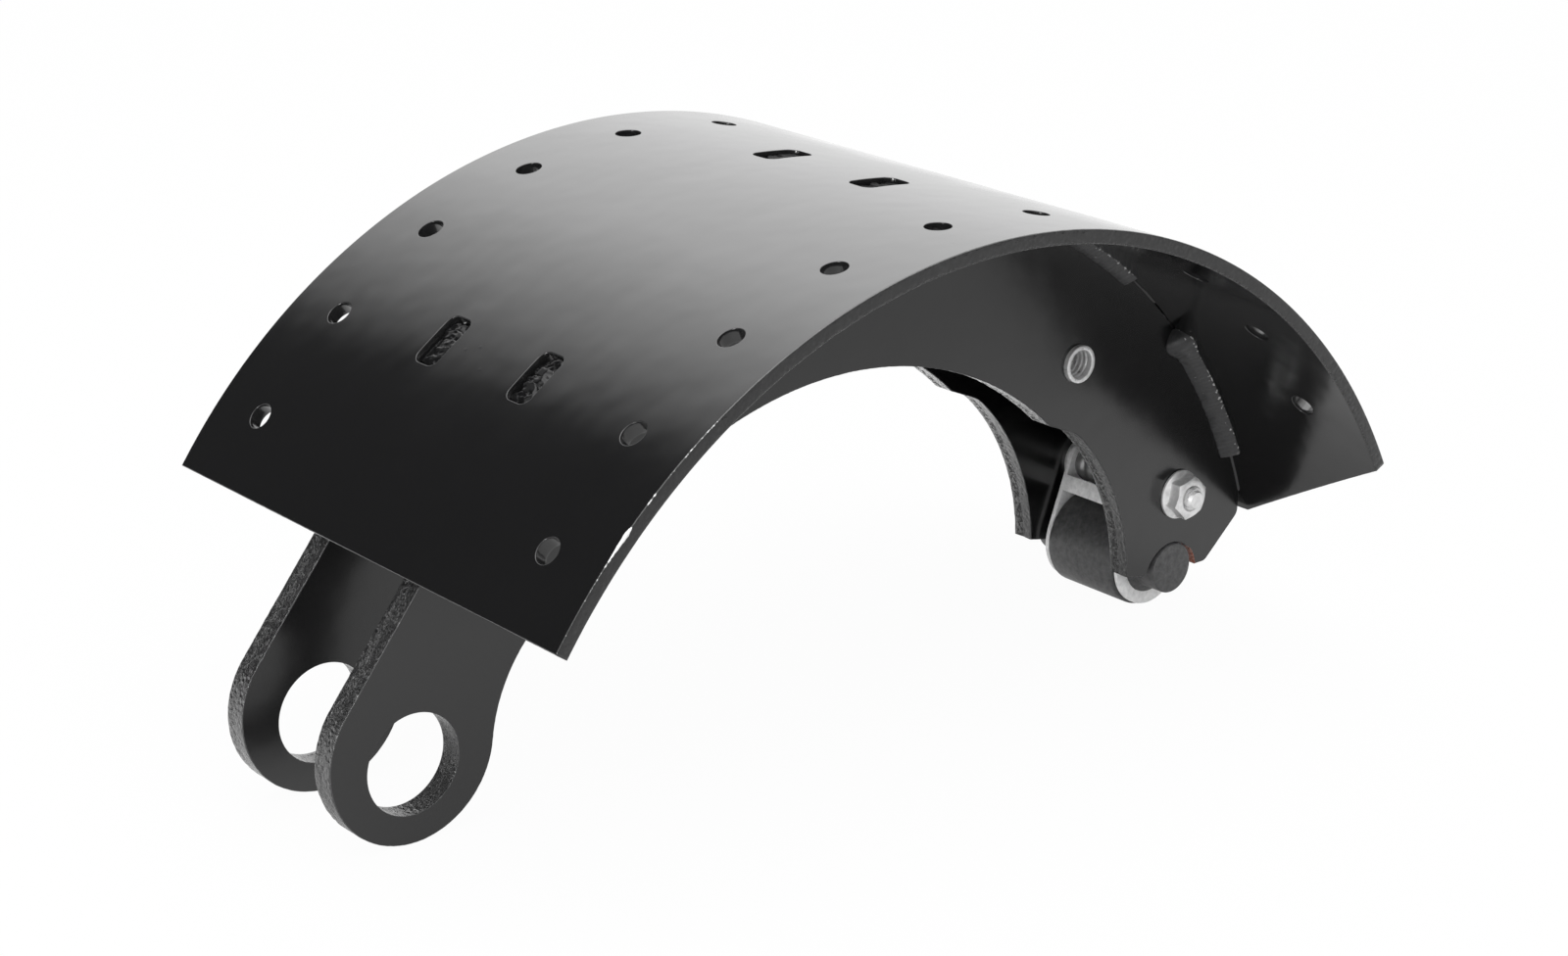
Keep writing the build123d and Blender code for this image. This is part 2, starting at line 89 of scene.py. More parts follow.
# Where the near rim's paint is chipped, along the blank from the crown
CHIP_SPAN = (-190 * MM, -90 * MM)
CHIPS = (
    (-186 * MM, 0.0), (-165 * MM, 0.13), (-161 * MM, 0.24), (-153.5 * MM, 0.95), (-151 * MM, 0.0),
    (-145 * MM, 0.06), (-143.5 * MM, 0.2), (-141 * MM, 0.2), (-140 * MM, 0.03), (-135 * MM, 0.06),
    (-133 * MM, 0.15), (-131 * MM, 0.03), (-129 * MM, 0.06), (-126 * MM, 0.18), (-123 * MM, 0.06),
    (-118 * MM, 0.12), (-110 * MM, 0.0),
)
CHIP_REACH = 0.8 * MM
CHIP_TEAR = 0.45 * MM
CHIP_BORDER = 0.1 * MM
BARE_STEEL_COLOUR = (0.55, 0.55, 0.55, 1)
PAINT_COLOUR = (0.0034, 0.0034, 0.0036, 1)
PAINT_ROUGHNESS = 0.13
PAINT_IOR = 1.6
# How strongly a light line is painted along the corners of cut edges, as a highlight
CORNER_HIGHLIGHT_STRENGTH = 14.0
GOUGE_DULLNESS = 0.45
# The share of the painted glints on cut edges that is left at the heel
HEEL_GLINT_SHARE = 0.3
# The colour that painted glints and highlights lighten sheared edges towards
SHEARED_EDGE_HIGHLIGHT_COLOUR = (0.006, 0.006, 0.0062, 1)
SHEARED_DEPTH = 0.12 * MM
WAVE_DEPTH = 0.14 * MM
PEEL_DEPTH = 0.004 * MM
GRIT_DEPTH = 0.03 * MM
SHEARED_RAGGEDNESS = 0.05 * MM
SHEARED_GRAIN = 1.2 * MM
SEAM_DRAW = 0.05 * MM
SEAM_PLACE = 24 * MM
SEAM_REACH = 7 * MM
ROLL_UNEVENNESS = 0.05 * MM
ROLL_PITCH = 45 * MM


def cad_copy(node):
    """A CAD node's shell with its loose triangles merged, to be measured or dressed."""
    solid = bmesh.new()
    solid.from_mesh(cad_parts[node].data)
    bmesh.ops.remove_doubles(solid, verts=solid.verts, dist=CAD_MERGE)
    return solid


def close_up(shell, mesh, reach):
    """Merges a shell's doubles, turns its faces outward and writes it to a mesh."""
    bmesh.ops.remove_doubles(shell, verts=shell.verts, dist=reach)
    bmesh.ops.dissolve_degenerate(shell, edges=shell.edges, dist=reach)
    bmesh.ops.recalc_face_normals(shell, faces=shell.faces)
    shell.to_mesh(mesh)
    shell.free()


def add_object(name, data):
    """A new object at the origin, linked to the scene."""
    piece = bpy.data.objects.new(name, data)
    scene.collection.objects.link(piece)
    return piece


def outline_loops(node, on_face):
    """Rows of corners round each hole and rim of the faces of a CAD node that lie on one surface."""
    solid = cad_copy(node)
    chosen = [all(on_face(vert.co) for vert in face.verts) for face in solid.faces]
    solid.faces.index_update()
    follow = {}
    for face in solid.faces:
        if not chosen[face.index]:
            continue
        for loop in face.loops:
            if not all(chosen[other.index] for other in loop.edge.link_faces):
                follow[loop.vert] = loop.link_loop_next.vert
    loops = []
    while follow:
        vert = next(iter(follow))
        row = []
        while vert in follow:
            row.append(vert.co.copy())
            vert = follow.pop(vert)
        loops.append(row)
    solid.free()
    return loops


def smooth_loop(corners, spacing, sharp=radians(25)):
    """Evenly spaced points along a closed outline, with its arcs made round again.

    Each point comes with the direction out of the material, long enough to mitre at a corner."""
    count = len(corners)
    chords = [(corners[(i + 1) % count] - corners[i]) for i in range(count)]
    lengths = [chord.length for chord in chords]
    units = [chord.normalized() for chord in chords]
    points, outward = [], []
    for i in range(count):
        before, after = (i - 1) % count, (i + 1) % count
        heading_in = units[i]
        if units[before].angle(units[i]) < sharp:
            heading_in = (units[before] * lengths[before] + chords[i]).normalized()
        heading_out = units[i]
        if units[i].angle(units[after]) < sharp:
            heading_out = (chords[i] + units[after] * lengths[after]).normalized()
        steps = max(1, round(lengths[i] / spacing))
        for k in range(steps):
            t = k / steps
            start_weight = t * (1 - t) ** 2 * lengths[i]
            end_weight = -t * t * (1 - t) * lengths[i]
            rise = t * t * (3 - 2 * t)
            points.append(
                corners[i] + chords[i] * rise + heading_in * start_weight + heading_out * end_weight)
            tangent = chords[i] * (6 * t * (1 - t))
            tangent += heading_in * (1 - 4 * t + 3 * t * t) * lengths[i]
            tangent += heading_out * (3 * t * t - 2 * t) * lengths[i]
            tangent.normalize()
            normal = Vector((tangent.y, -tangent.x))
            turn = units[before].angle(units[i])
            if k == 0 and turn >= sharp:
                mitre = units[before] + units[i]
                mitre.normalize()
                normal = Vector((mitre.y, -mitre.x)) / cos(turn / 2)
            outward.append(normal)
    return points, outward


def inset_loop(points, outward, inset):
    """An outline moved into the material, with what would fold over itself drawn into one point."""
    moved = [point - normal * inset for point, normal in zip(points, outward)]
    for _ in range(3):
        for i in range(len(points)):
            j = (i + 1) % len(points)
            if (moved[j] - moved[i]).dot(points[j] - points[i]) < 0:
                moved[i] = moved[j] = (moved[i] + moved[j]) / 2
    return moved


def inside(point, loops):
    """Whether a point lies in the material between a plate's rim and its holes."""
    x, y = point
    within = False
    for loop in loops:
        last = loop[-1]
        for corner in loop:
            if (corner.y > y) != (last.y > y):
                cross = corner.x + (y - corner.y) * (last.x - corner.x) / (last.y - corner.y)
                if x < cross:
                    within = not within
            last = corner
    return within


def face_triangles(loops, spacing):
    """Triangles over a plate's face, with its inner points, from the loops round it."""
    rims = [point for loop in loops for point in loop]
    tree = kdtree.KDTree(len(rims))
    for i, point in enumerate(rims):
        tree.insert((point.x, point.y, 0), i)
    tree.balance()
    low = Vector((min(p.x for p in rims), min(p.y for p in rims)))
    high = Vector((max(p.x for p in rims), max(p.y for p in rims)))
    row_step = spacing * 0.866
    inner = []
    for j in range(int((high.y - low.y) / row_step) + 1):
        for i in range(int((high.x - low.x) / spacing) + 1):
            point = low + Vector(((i + 0.5 * (j % 2)) * spacing, j * row_step))
            if tree.find((point.x, point.y, 0))[2] > 0.6 * spacing and inside(point, loops):
                inner.append(point)
    edges, first = [], 0
    for loop in loops:
        edges += [(first + i, first + (i + 1) % len(loop)) for i in range(len(loop))]
        first += len(loop)
    laid, _, faces, origin, _, _ = geometry.delaunay_2d_cdt(rims + inner, edges, [], 0, 1e-9)
    number = [ids[0] if ids else -1 for ids in origin]
    kept = []
    for face in faces:
        if all(number[i] < len(rims) for i in face):
            middle = sum((laid[i] for i in face), Vector((0, 0))) / 3
            if not inside(middle, loops):
                continue
        kept.append([number[i] for i in face])
    return inner, kept


def twice_area(loop):
    """Twice the area that an outline goes round, positive when it runs anticlockwise."""
    return sum(loop[i - 1].cross(loop[i]) for i in range(len(loop)))


def plate(name, loops, gauge, rounding, spacing, face_spacing, place, roughen=None, wall_rings=3,
          hole_cut=HOLE_ROUGHNESS_SHARE):
    """A plate with rounded rims as one closed mesh, laid out flat and set in its place by a function.

    place takes (across, along, depth), and roughen how far a point of its cut outline stands out.
    Holes stay nearly smooth, and hole_cut is how much of the look of a cut edge they have."""
    loops = sorted(loops, key=lambda loop: -abs(twice_area(loop)))
    if twice_area(loops[0]) < 0:
        loops = [loop[::-1] for loop in loops]
    rows = [smooth_loop(loop, spacing) for loop in loops]
    turns = [k / ROUNDING_STEPS * pi / 2 for k in range(ROUNDING_STEPS + 1)]
    # The first ring lies on the flat, so that the rounding's shading ends there.
    profile = [(1 + EDGE_FLAT / rounding, 0)] + [(1 - sin(turn), 1 - cos(turn)) for turn in turns]
    steps = len(profile) - 1
    rings = [(rounding * inset, rounding * depth) for inset, depth in profile]
    wall = gauge - 2 * rounding
    rings += [(0, rounding + wall * k / wall_rings) for k in range(1, wall_rings)]
    rings += [(inset, gauge - depth) for inset, depth in reversed(rings[: steps + 1])]
    verts, cut, faces, starts = [], [], [], []
    for ring, (ring_inset, ring_depth) in enumerate(rings):
        starts.append(len(verts))
        for row, (points, outward) in enumerate(rows):
            inset, depth = ring_inset, ring_depth
            if row:
                inset *= HOLE_ROUNDING_SHARE
                if ring <= steps:
                    depth *= HOLE_ROUNDING_SHARE
                if ring >= len(rings) - 1 - steps:
                    depth = gauge - (gauge - depth) * HOLE_ROUNDING_SHARE
            moved = inset_loop(points, outward, inset)
            for point, normal, spot in zip(points, outward, moved):
                fade = max(0, 1 - ring_inset / rounding)
                if roughen and fade:
                    share = fade * (HOLE_ROUGHNESS_SHARE if row else 1)
                    spot = spot + normal.normalized() * (share * roughen(point, depth))
                verts.append((spot.x, spot.y, depth))
                cut.append(fade * (hole_cut if row else 1))
    count = starts[1]
    for ring in range(len(rings) - 1):
        first = starts[ring]
        for points, outward in rows:
            size = len(points)
            for i in range(size):
                a, b = first + i, first + (i + 1) % size
                faces.append((a, a + count, b + count, b))
            first += size
    caps = []
    for row, (points, outward) in enumerate(rows):
        caps.append(inset_loop(points, outward, rings[0][0] * (HOLE_ROUNDING_SHARE if row else 1)))
    inner, triangles = face_triangles(caps, face_spacing)
    for depth, base in ((0, 0), (gauge, starts[-1])):
        first = len(verts)
        verts += [(point.x, point.y, depth) for point in inner]
        cut += [0] * len(inner)
        for triangle in triangles:
            corners = [base + i if i < count else first + i - count for i in triangle]
            faces.append(corners if depth == 0 else corners[::-1])
    mesh = bpy.data.meshes.new(name)
    mesh.from_pydata([place(*vert) for vert in verts], [], faces)
    flat = mesh.attributes.new("laid_flat", "FLOAT_VECTOR", "POINT")
    flat.data.foreach_set("vector", [value for vert in verts for value in vert])
    mesh.attributes.new("cut_edge", "FLOAT", "POINT").data.foreach_set("value", cut)
    mesh.update()
    shell = bmesh.new()
    shell.from_mesh(mesh)
    close_up(shell, mesh, PLATE_MERGE)
    mesh.shade_smooth()
    return add_object(name, mesh)


def add_nodes(tree, *rows):
    """Adds nodes to a tree from rows of (name, type, settings, inputs) and links them.

    An input is a value or "name:output"; settings are the node's own properties. A row whose type
    is None feeds a node that the tree already has."""
    made = {node.name: node for node in tree.nodes}
    for name, kind, settings, inputs in rows:
        node = tree.nodes.new(kind) if kind else made[name]
        node.name = name
        made[name] = node
        for key, value in settings.items():
            setattr(node, key, value)
        for key, value in inputs.items():
            socket = node.inputs[key]
            if isinstance(value, str) and ":" in value:
                source, output = value.split(":")
                output = int(output) if output.isdigit() else output
                tree.links.new(made[source].outputs[output], socket)
            else:
                socket.default_value = value


def ramp(node, *stops):
    """Sets the stops of a colour ramp from (place, grey) pairs."""
    elements = node.color_ramp.elements
    while len(elements) < len(stops):
        elements.new(0.5)
    for element, (place, grey) in zip(elements, stops):
        element.position = place
        element.color = (grey, grey, grey, 1)


def math(name, operation, *values, **settings):
    """A row for add_nodes: a maths node with its inputs in order."""
    return name, "ShaderNodeMath", {"operation": operation, **settings}, dict(enumerate(values))


def spread(name, value, low, high, to_low=0.0, to_high=1.0, **settings):
    """A row for add_nodes: a value's range from low to high spread over another range."""
    return name, "ShaderNodeMapRange", settings, {
        "Value": value, "From Min": low, "From Max": high, "To Min": to_low, "To Max": to_high}


def clouds(name, place, scale, detail, roughness=0.5):
    """A row for add_nodes: soft noise of a scale, with finer detail in it."""
    return name, "ShaderNodeTexNoise", {}, {
        "Vector": place, "Scale": scale, "Detail": detail, "Roughness": roughness}


def blend(name, share, under, over, **settings):
    """A row for add_nodes: one colour laid over another by a share."""
    return name, "ShaderNodeMix", {"data_type": "RGBA", **settings}, {
        "Factor": share, "A": under, "B": over}


def relief(name, height, depth, strength=1.0, **inputs):
    """A row for add_nodes: a bump of a depth."""
    return name, "ShaderNodeBump", {}, {
        "Height": height, "Strength": strength, "Distance": depth, **inputs}


def surface(name, *rows, **shader_inputs):
    """A material whose shader is fed by rows of nodes. "place" gives the object's own coordinates.

    An input of the shader has its name here with _ for the space."""
    material = bpy.data.materials.new(name)
    material.use_nodes = True
    inputs = {key.replace("_", " "): value for key, value in shader_inputs.items()}
    add_nodes(
        material.node_tree, ("place", "ShaderNodeTexCoord", {}, {}), *rows,
        ("Principled BSDF", None, {}, inputs),
    )
    return material


def black_paint(name, roughness, edge_highlight_colour, tear_depth, ior=PAINT_IOR):
    """Thin stoved black over rolled steel, glossy on the faces and torn over cut edges, which carry
    painted light and shade.
    """
    return surface(
        name,
        ("cut", "ShaderNodeAttribute", {"attribute_name": "cut_edge"}, {}),
        ("flat", "ShaderNodeAttribute", {"attribute_name": "laid_flat"}, {}),
        # Orange peel of the paint, and the slow unevenness of the rolled plate
        clouds("peel", "place:Object", 420.0, 2.0),
        clouds("cloud", "place:Object", 26.0, 3.0),
        spread("cloud_range", "cloud:Fac", 0.3, 0.7, 0.85, 1.25),
        # Grit caught in the paint
        ("grit", "ShaderNodeTexVoronoi", {}, {"Vector": "place:Object", "Scale": 260.0}),
        spread("grit_spot", "grit:Distance", 0.05, 0.16, 1.0, 0.0),
        ("grit_pick", "ShaderNodeMapRange", {"interpolation_type": "STEPPED"}, {
            "Value": "cloud:Fac", "From Min": 0.55, "From Max": 0.75, "Steps": 1.0}),
        math("grit_here", "MULTIPLY", "grit_spot:0", "grit_pick:0"),
        # Torn and scaled metal under the paint of a cut edge
        clouds("tear", "place:Object", 800.0, 3.0, 0.65),
        ("pit", "ShaderNodeTexVoronoi", {}, {"Vector": "place:Object", "Scale": 560.0}),
        spread("pit_depth", "pit:Distance", 0.1, 0.5),
        math("tear_height", "MULTIPLY", "tear:Fac", "pit_depth:0"),
        # A row of gouges where the flame left the plate, past the middle of its gauge. They fade
        # toward the heel, where the flame ran slower.
        ("through", "ShaderNodeSeparateXYZ", {}, {0: "flat:Vector"}),
        spread("band_in", "through:Z", GOUGE_BAND[0], GOUGE_BAND[1]),
        spread("band_out", "through:Z", GOUGE_BAND[2], GOUGE_BAND[3], 1.0, 0.0),
        math("band", "MULTIPLY", "band_in:0", "band_out:0"),
        clouds("gouge_noise", "flat:Vector", 800.0, 2.0),
        spread("gouge_spot", "gouge_noise:Fac", 0.48, 0.56, 0.0, 1.1),
        math("gouge_band", "MULTIPLY", "gouge_spot:0", "band:0"),
        ("spot", "ShaderNodeSeparateXYZ", {}, {0: "place:Object"}),
        spread("fade", "spot:X", GOUGE_FADE[0], GOUGE_FADE[1], 0.25, 1.0),
        math("gouge_faded", "MULTIPLY", "gouge_band:0", "fade:0"),
        math("gouge", "MULTIPLY", "gouge_faded:0", "cut:Fac"),
        math("torn", "SUBTRACT", "tear_height:0", "gouge:0"),
        math("cut_height", "MULTIPLY", "torn:0", "cut:Fac"),
        math("gloss", "MULTIPLY", "cloud_range:0", roughness),
        math("cut_gloss", "MULTIPLY_ADD", "gouge:0", GOUGE_DULLNESS, "gloss:0", use_clamp=True),
        # A painted highlight: a light line along the rounded corners of the cut edges
        math("corner_out", "SUBTRACT", 1.0, "cut:Fac"),
        math("corner", "MULTIPLY", "corner_out:0", CORNER_HIGHLIGHT_STRENGTH),
        # The half where the flame came in is smooth, and it is drawn lighter as a painted sheen.
        spread("smooth_half", "through:Z", 0.8 * GOUGE_BAND[0], GOUGE_BAND[1], SMOOTH_HALF_SHEEN_SHARE, 0.0),
        math("smooth_faded", "MULTIPLY_ADD", "smooth_half:0", "fade:0", "corner:0"),
        # Painted glints: light specks on the cut edges stand in for highlights on the burrs, fewer on
        # the heel's edges
        spread("speck", "tear:Fac", 0.53, 0.66, 0.05, 3.5),
        math("speck_fade", "MULTIPLY_ADD", "fade:0", 1 - HEEL_GLINT_SHARE, HEEL_GLINT_SHARE),
        math("speck_faded", "MULTIPLY", "speck:0", "speck_fade:0"),
        math("speck_or_smooth", "ADD", "speck_faded:0", "smooth_faded:0"),
        math("bare_speck", "MULTIPLY", "cut:Fac", "speck_or_smooth:0"),
        # Painted light and shade on cut edges: lighter by the glints, sheen and corner highlight,
        # darker in the gouges
        math("bare", "SUBTRACT", "bare_speck:0", "gouge:0"),
        blend("colour", "bare:0", PAINT_COLOUR, edge_highlight_colour, clamp_factor=False),
        clouds("wave", "place:Object", 75.0, 1.0),
        relief("wave_bump", "wave:Fac", WAVE_DEPTH),
        relief("peel_bump", "peel:Fac", PEEL_DEPTH, 0.5, Normal="wave_bump:0"),
        relief("grit_bump", "grit_here:0", GRIT_DEPTH, 0.5, Normal="peel_bump:0"),
        relief("cut_bump", "cut_height:0", tear_depth, Normal="grit_bump:0"),
        Base_Color="colour:Result", Roughness="cut_gloss:0", Normal="cut_bump:0", IOR=ior,
    )


def chip_rim(material):
    """Knocks the paint off in places along the corner of the table's near rim."""
    tree = material.node_tree
    first, last = CHIP_SPAN
    add_nodes(
        tree,
        spread("chip_along", "through:Y", first, last),
        ("chip_places", "ShaderNodeValToRGB", {}, {0: "chip_along:0"}),
        # A chip reaches so far round the corner on both sides, with a torn outline.
        math("chip_reach", "MULTIPLY", "chip_places:0", CHIP_REACH),
        math("chip_torn", "MULTIPLY_ADD", "tear:Fac", CHIP_TEAR, "chip_reach:0"),
        math("chip_across", "ADD", "through:X", "through:Z"),
        math("chip_left", "SUBTRACT", "chip_torn:0", "chip_across:0"),
        spread("chipped", "chip_left:0", TABLE_HALF_WIDTH, TABLE_HALF_WIDTH + CHIP_BORDER),
        blend("chip_colour", "chipped:0", "colour:Result", BARE_STEEL_COLOUR),
        ("Principled BSDF", None, {}, {"Base Color": "chip_colour:Result"}),
    )
    ramp(
        tree.nodes["chip_places"],
        *(((along - first) / (last - first), size) for along, size in CHIPS))


PAINT = black_paint("gloss_black_paint", PAINT_ROUGHNESS, SHEARED_EDGE_HIGHLIGHT_COLOUR, SHEARED_DEPTH)
chip_rim(PAINT)


def on_table_top(point):
    """Whether a point lies on the outer, lining side of the table."""
    reach = hypot(point.x - DRUM_AXIS.x, point.z - DRUM_AXIS.z)
    return abs(reach - TABLE_OUTER_RADIUS) < FACE_TOLERANCE


def unroll(point):
    """(across, along) on the outer face of the table from a point on it."""
    angle = Vector((point.z - DRUM_AXIS.z, point.x - DRUM_AXIS.x)).angle_signed(Vector((1, 0)))
    return Vector((point.y, angle * TABLE_OUTER_RADIUS))


def roll_up(across, along, depth):
    """A point of the table from its place on the flat blank and its depth under the outer face."""
    angle = along / TABLE_OUTER_RADIUS
    radius = TABLE_OUTER_RADIUS - depth - sag(across, along)
    return DRUM_AXIS + Vector((radius * sin(angle), across, radius * cos(angle)))


def sag(across, along):
    """How far the table is drawn in by the heat of the welds and left uneven by the rolls."""
    seam = (abs(across) - SEAM_PLACE) / SEAM_REACH
    drawn = SEAM_DRAW * pow(2.718, -seam * seam)
    return drawn + ROLL_UNEVENNESS * (1 + noise.noise(Vector((across, along, 0)) / ROLL_PITCH))


def sheared(point, depth):
    """How far the shears left a point of the rim proud, never more than nothing."""
    return SHEARED_RAGGEDNESS * (noise.noise(Vector((point.x, point.y, depth)) / SHEARED_GRAIN) - 1)


table_loops = outline_loops("shoe_table", on_table_top)
table_loops = [[unroll(point) for point in loop] for loop in table_loops]
table = plate(
    "table", table_loops, TABLE_GAUGE, TABLE_EDGE_ROUNDING, TABLE_RIM_SPACING, TABLE_FACE_SPACING,
    roll_up, roughen=sheared,
)
table.data.materials.append(PAINT)
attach(table, "shoe")
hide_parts("shoe_table")

# --- Webs ---
# Two flame-cut plates that carry the table. Each has an anchor eye at its heel, a notch for the
# cam roller's journal at its toe and three tabs that sit in the slots of the table.

WEB_GAUGE = 8.0 * MM
WEB_EDGE_ROUNDING = 0.4 * MM
# How much of a cut edge's look the web's holes get: its bumps, roughness and painted glints and
# highlights
EYE_CUT_SHARE = 0.95
WEB_PAINT_ROUGHNESS = 0.20
# The colour that painted glints and highlights lighten flame-cut edges towards
FLAME_CUT_HIGHLIGHT_COLOUR = (0.011, 0.011, 0.0113, 1)
FLAME_CUT_DEPTH = 0.45 * MM
WEB_RIM_SPACING = 0.9 * MM
WEB_FACE_SPACING = 6.0 * MM
DRAG_LINE_PITCH = 1.1 * MM
DRAG_LINE_DEPTH = 0.10 * MM
GOUGE_DEPTH = 0.35 * MM
GOUGE_PITCH = 2.6 * MM
GOUGE_RARITY = 0.22
# A bare patch of primer on the wall of the near web's notch
STAIN_PLACE = (312.3 * MM, -23.6 * MM, -5.9 * MM)
STAIN_REACH = 5.0 * MM
PRIMER_COLOUR = (0.36, 0.11, 0.065, 1)


def flame_cut(point, depth):
    """How far the flame left a point of a cut edge proud, never more than nothing.

    Drag lines run across the edge, and gouges lie past its middle."""
    spot = Vector((point.x, point.y, 0.35 * depth))
    lines = noise.noise(spot / DRAG_LINE_PITCH)
    gouge = noise.noise(Vector((point.x, point.y, 0.8 * depth + 1)) / GOUGE_PITCH)
    share = min(1, max(0, depth / WEB_GAUGE))
    return DRAG_LINE_DEPTH * (lines - 1) - GOUGE_DEPTH * max(0, gouge - GOUGE_RARITY) * (0.35 + share)


def stain(material, place, reach, colour):
    """Primer that shows through the paint of a cut edge round a point."""
    add_nodes(
        material.node_tree,
        ("from_stain", "ShaderNodeVectorMath", {"operation": "DISTANCE"}, {
            0: "place:Object", 1: place}),
        math("worn", "MULTIPLY_ADD", "tear:Fac", -reach, "from_stain:Value"),
        spread("stain_here", "worn:0", 0.5 * reach, 0.6 * reach, 1.0, 0.0),
        math("stained", "MULTIPLY", "stain_here:0", "cut:Fac"),
        blend("stained_colour", "stained:0", "colour:Result", colour),
        ("Principled BSDF", None, {}, {"Base Color": "stained_colour:Result"}),
    )


WEB_PAINT = black_paint("black_paint_on_webs", WEB_PAINT_ROUGHNESS, FLAME_CUT_HIGHLIGHT_COLOUR, FLAME_CUT_DEPTH)
stain(WEB_PAINT, STAIN_PLACE, STAIN_REACH, PRIMER_COLOUR)
for side, side_name in ((-1, "near"), (1, "far")):
    low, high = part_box(f"web_{side_name}")
    outer_face = low.y if side < 0 else high.y
    corners = outline_loops(
        f"web_{side_name}", lambda point: abs(point.y - outer_face) < FACE_TOLERANCE)
    # Seen from outside, the flat blank runs to the right and up.
    web = plate(
        f"web_{side_name}_plate",
        [[Vector((-side * point.x, point.z)) for point in loop] for loop in corners],
        WEB_GAUGE, WEB_EDGE_ROUNDING, WEB_RIM_SPACING, WEB_FACE_SPACING,
        lambda across, along, depth: Vector((-side * across, outer_face - side * depth, along)),
        roughen=lambda point, depth: flame_cut(point, depth if side < 0 else WEB_GAUGE - depth),
        wall_rings=8, hole_cut=EYE_CUT_SHARE,
    )
    if side > 0:
        # Both webs are cut from the same side, so the far one's gouges are near its outer face.
        for spot in web.data.attributes["laid_flat"].data:
            spot.vector = (spot.vector[0], spot.vector[1], WEB_GAUGE - spot.vector[2])
    web.data.materials.append(WEB_PAINT)
    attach(web, "shoe")
    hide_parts(f"web_{side_name}")

# --- Welds along the webs ---
# Fillet welds laid in the corner between each web and the table, broken at the slots. The welder
# paused on a puddle at the start of the last run. Painted, with light specks painted along the toe on
# the table as glints.

TABLE_INNER_RADIUS = TABLE_OUTER_RADIUS - TABLE_GAUGE
WELD_LEG = 4.0 * MM
WELD_SINK = 0.25 * MM
WELD_RIPPLE_PITCH = 1.7 * MM
WELD_RIPPLE_HEIGHT = 0.035 * MM
WELD_ROUGHNESS_HEIGHT = 0.40 * MM
WELD_ROUGHNESS_SCALE = (330.0, 1.0, 0.9)
WELD_CROWN = 0.16
WELD_TRAIL = 2.4
WELD_SECTION_POINTS = 15
WELD_RING_SPACING = 0.35 * MM
WELD_MERGE = 0.004 * MM
WELD_GRAIN_DEPTH = 0.08 * MM
WELD_START_SWELL = 0.12
WELD_PUDDLE = 0.48
LAST_WELD_LEG = 5.2 * MM
START_NOSE = 3.6 * MM
END_NOSE = 2.0 * MM
PUDDLE_MIDDLE = 4.4 * MM
PUDDLE_REACH = 4.4 * MM
THREAD_SHARE = 0.2
THREAD_ANGLE = 5.0
SLOT_ANGLES = (-35.0, 5.0, 45.0)
WELD_GAP_ANGLE = 4.5
WELD_FIRST_ANGLE = -52.0
WELD_LAST_ANGLE = 67.7
WELD_COLOUR = (0.024, 0.024, 0.025, 1)
# The colour of the light specks painted on the welds as glints
WELD_GLINT_COLOUR = (0.42, 0.42, 0.42, 1)


def node_tree(name, inputs):
    """An empty geometry tree with named inputs, each a (name, socket type) pair, and a mesh output."""
    tree = bpy.data.node_groups.new(name, "GeometryNodeTree")
    for label, kind in inputs:
        tree.interface.new_socket(name=label, in_out="INPUT", socket_type=kind)
    tree.interface.new_socket(name="Geometry", in_out="OUTPUT", socket_type="NodeSocketGeometry")
    tree.nodes.new("NodeGroupInput").name = "in"
    tree.nodes.new("NodeGroupOutput").name = "out"
    return tree


def grow(name, tree, values):
    """The mesh that a geometry tree makes from its named values, as a plain object."""
    seed = add_object(name, bpy.data.meshes.new(name))
    modifier = seed.modifiers.new("grow", "NODES")
    modifier.node_group = tree
    for socket in tree.interface.items_tree:
        if socket.in_out == "INPUT":
            modifier[socket.identifier] = values[socket.name]
    shown = seed.evaluated_get(bpy.context.evaluated_depsgraph_get())
    mesh = bpy.data.meshes.new_from_object(shown)
    mesh.name = name
    seed.modifiers.remove(modifier)
    seed.data = mesh
    shell = bmesh.new()
    shell.from_mesh(mesh)
    bmesh.ops.recalc_face_normals(shell, faces=shell.faces)
    shell.to_mesh(mesh)
    shell.free()
    return seed


def vector(name, operation, *values):
    """A row for add_nodes: a vector maths node with its inputs in order."""
    return name, "ShaderNodeVectorMath", {"operation": operation}, dict(enumerate(values))


def scaled(name, colour, share):
    """A row for add_nodes: a colour or an arrow times a share."""
    return name, "ShaderNodeVectorMath", {"operation": "SCALE"}, {0: colour, "Scale": share}


def round_drum(angle, radius, across):
    """Rows for add_nodes: the place at an angle round the drum's axis, out from it and across."""
    return (
        math("angle_sine", "SINE", angle),
        math("angle_cosine", "COSINE", angle),
        math("x", "MULTIPLY_ADD", radius, "angle_sine:0", DRUM_AXIS.x),
        math("z", "MULTIPLY_ADD", radius, "angle_cosine:0", DRUM_AXIS.z),
        ("place", "ShaderNodeCombineXYZ", {}, {"X": "x:0", "Y": across, "Z": "z:0"}),
    )


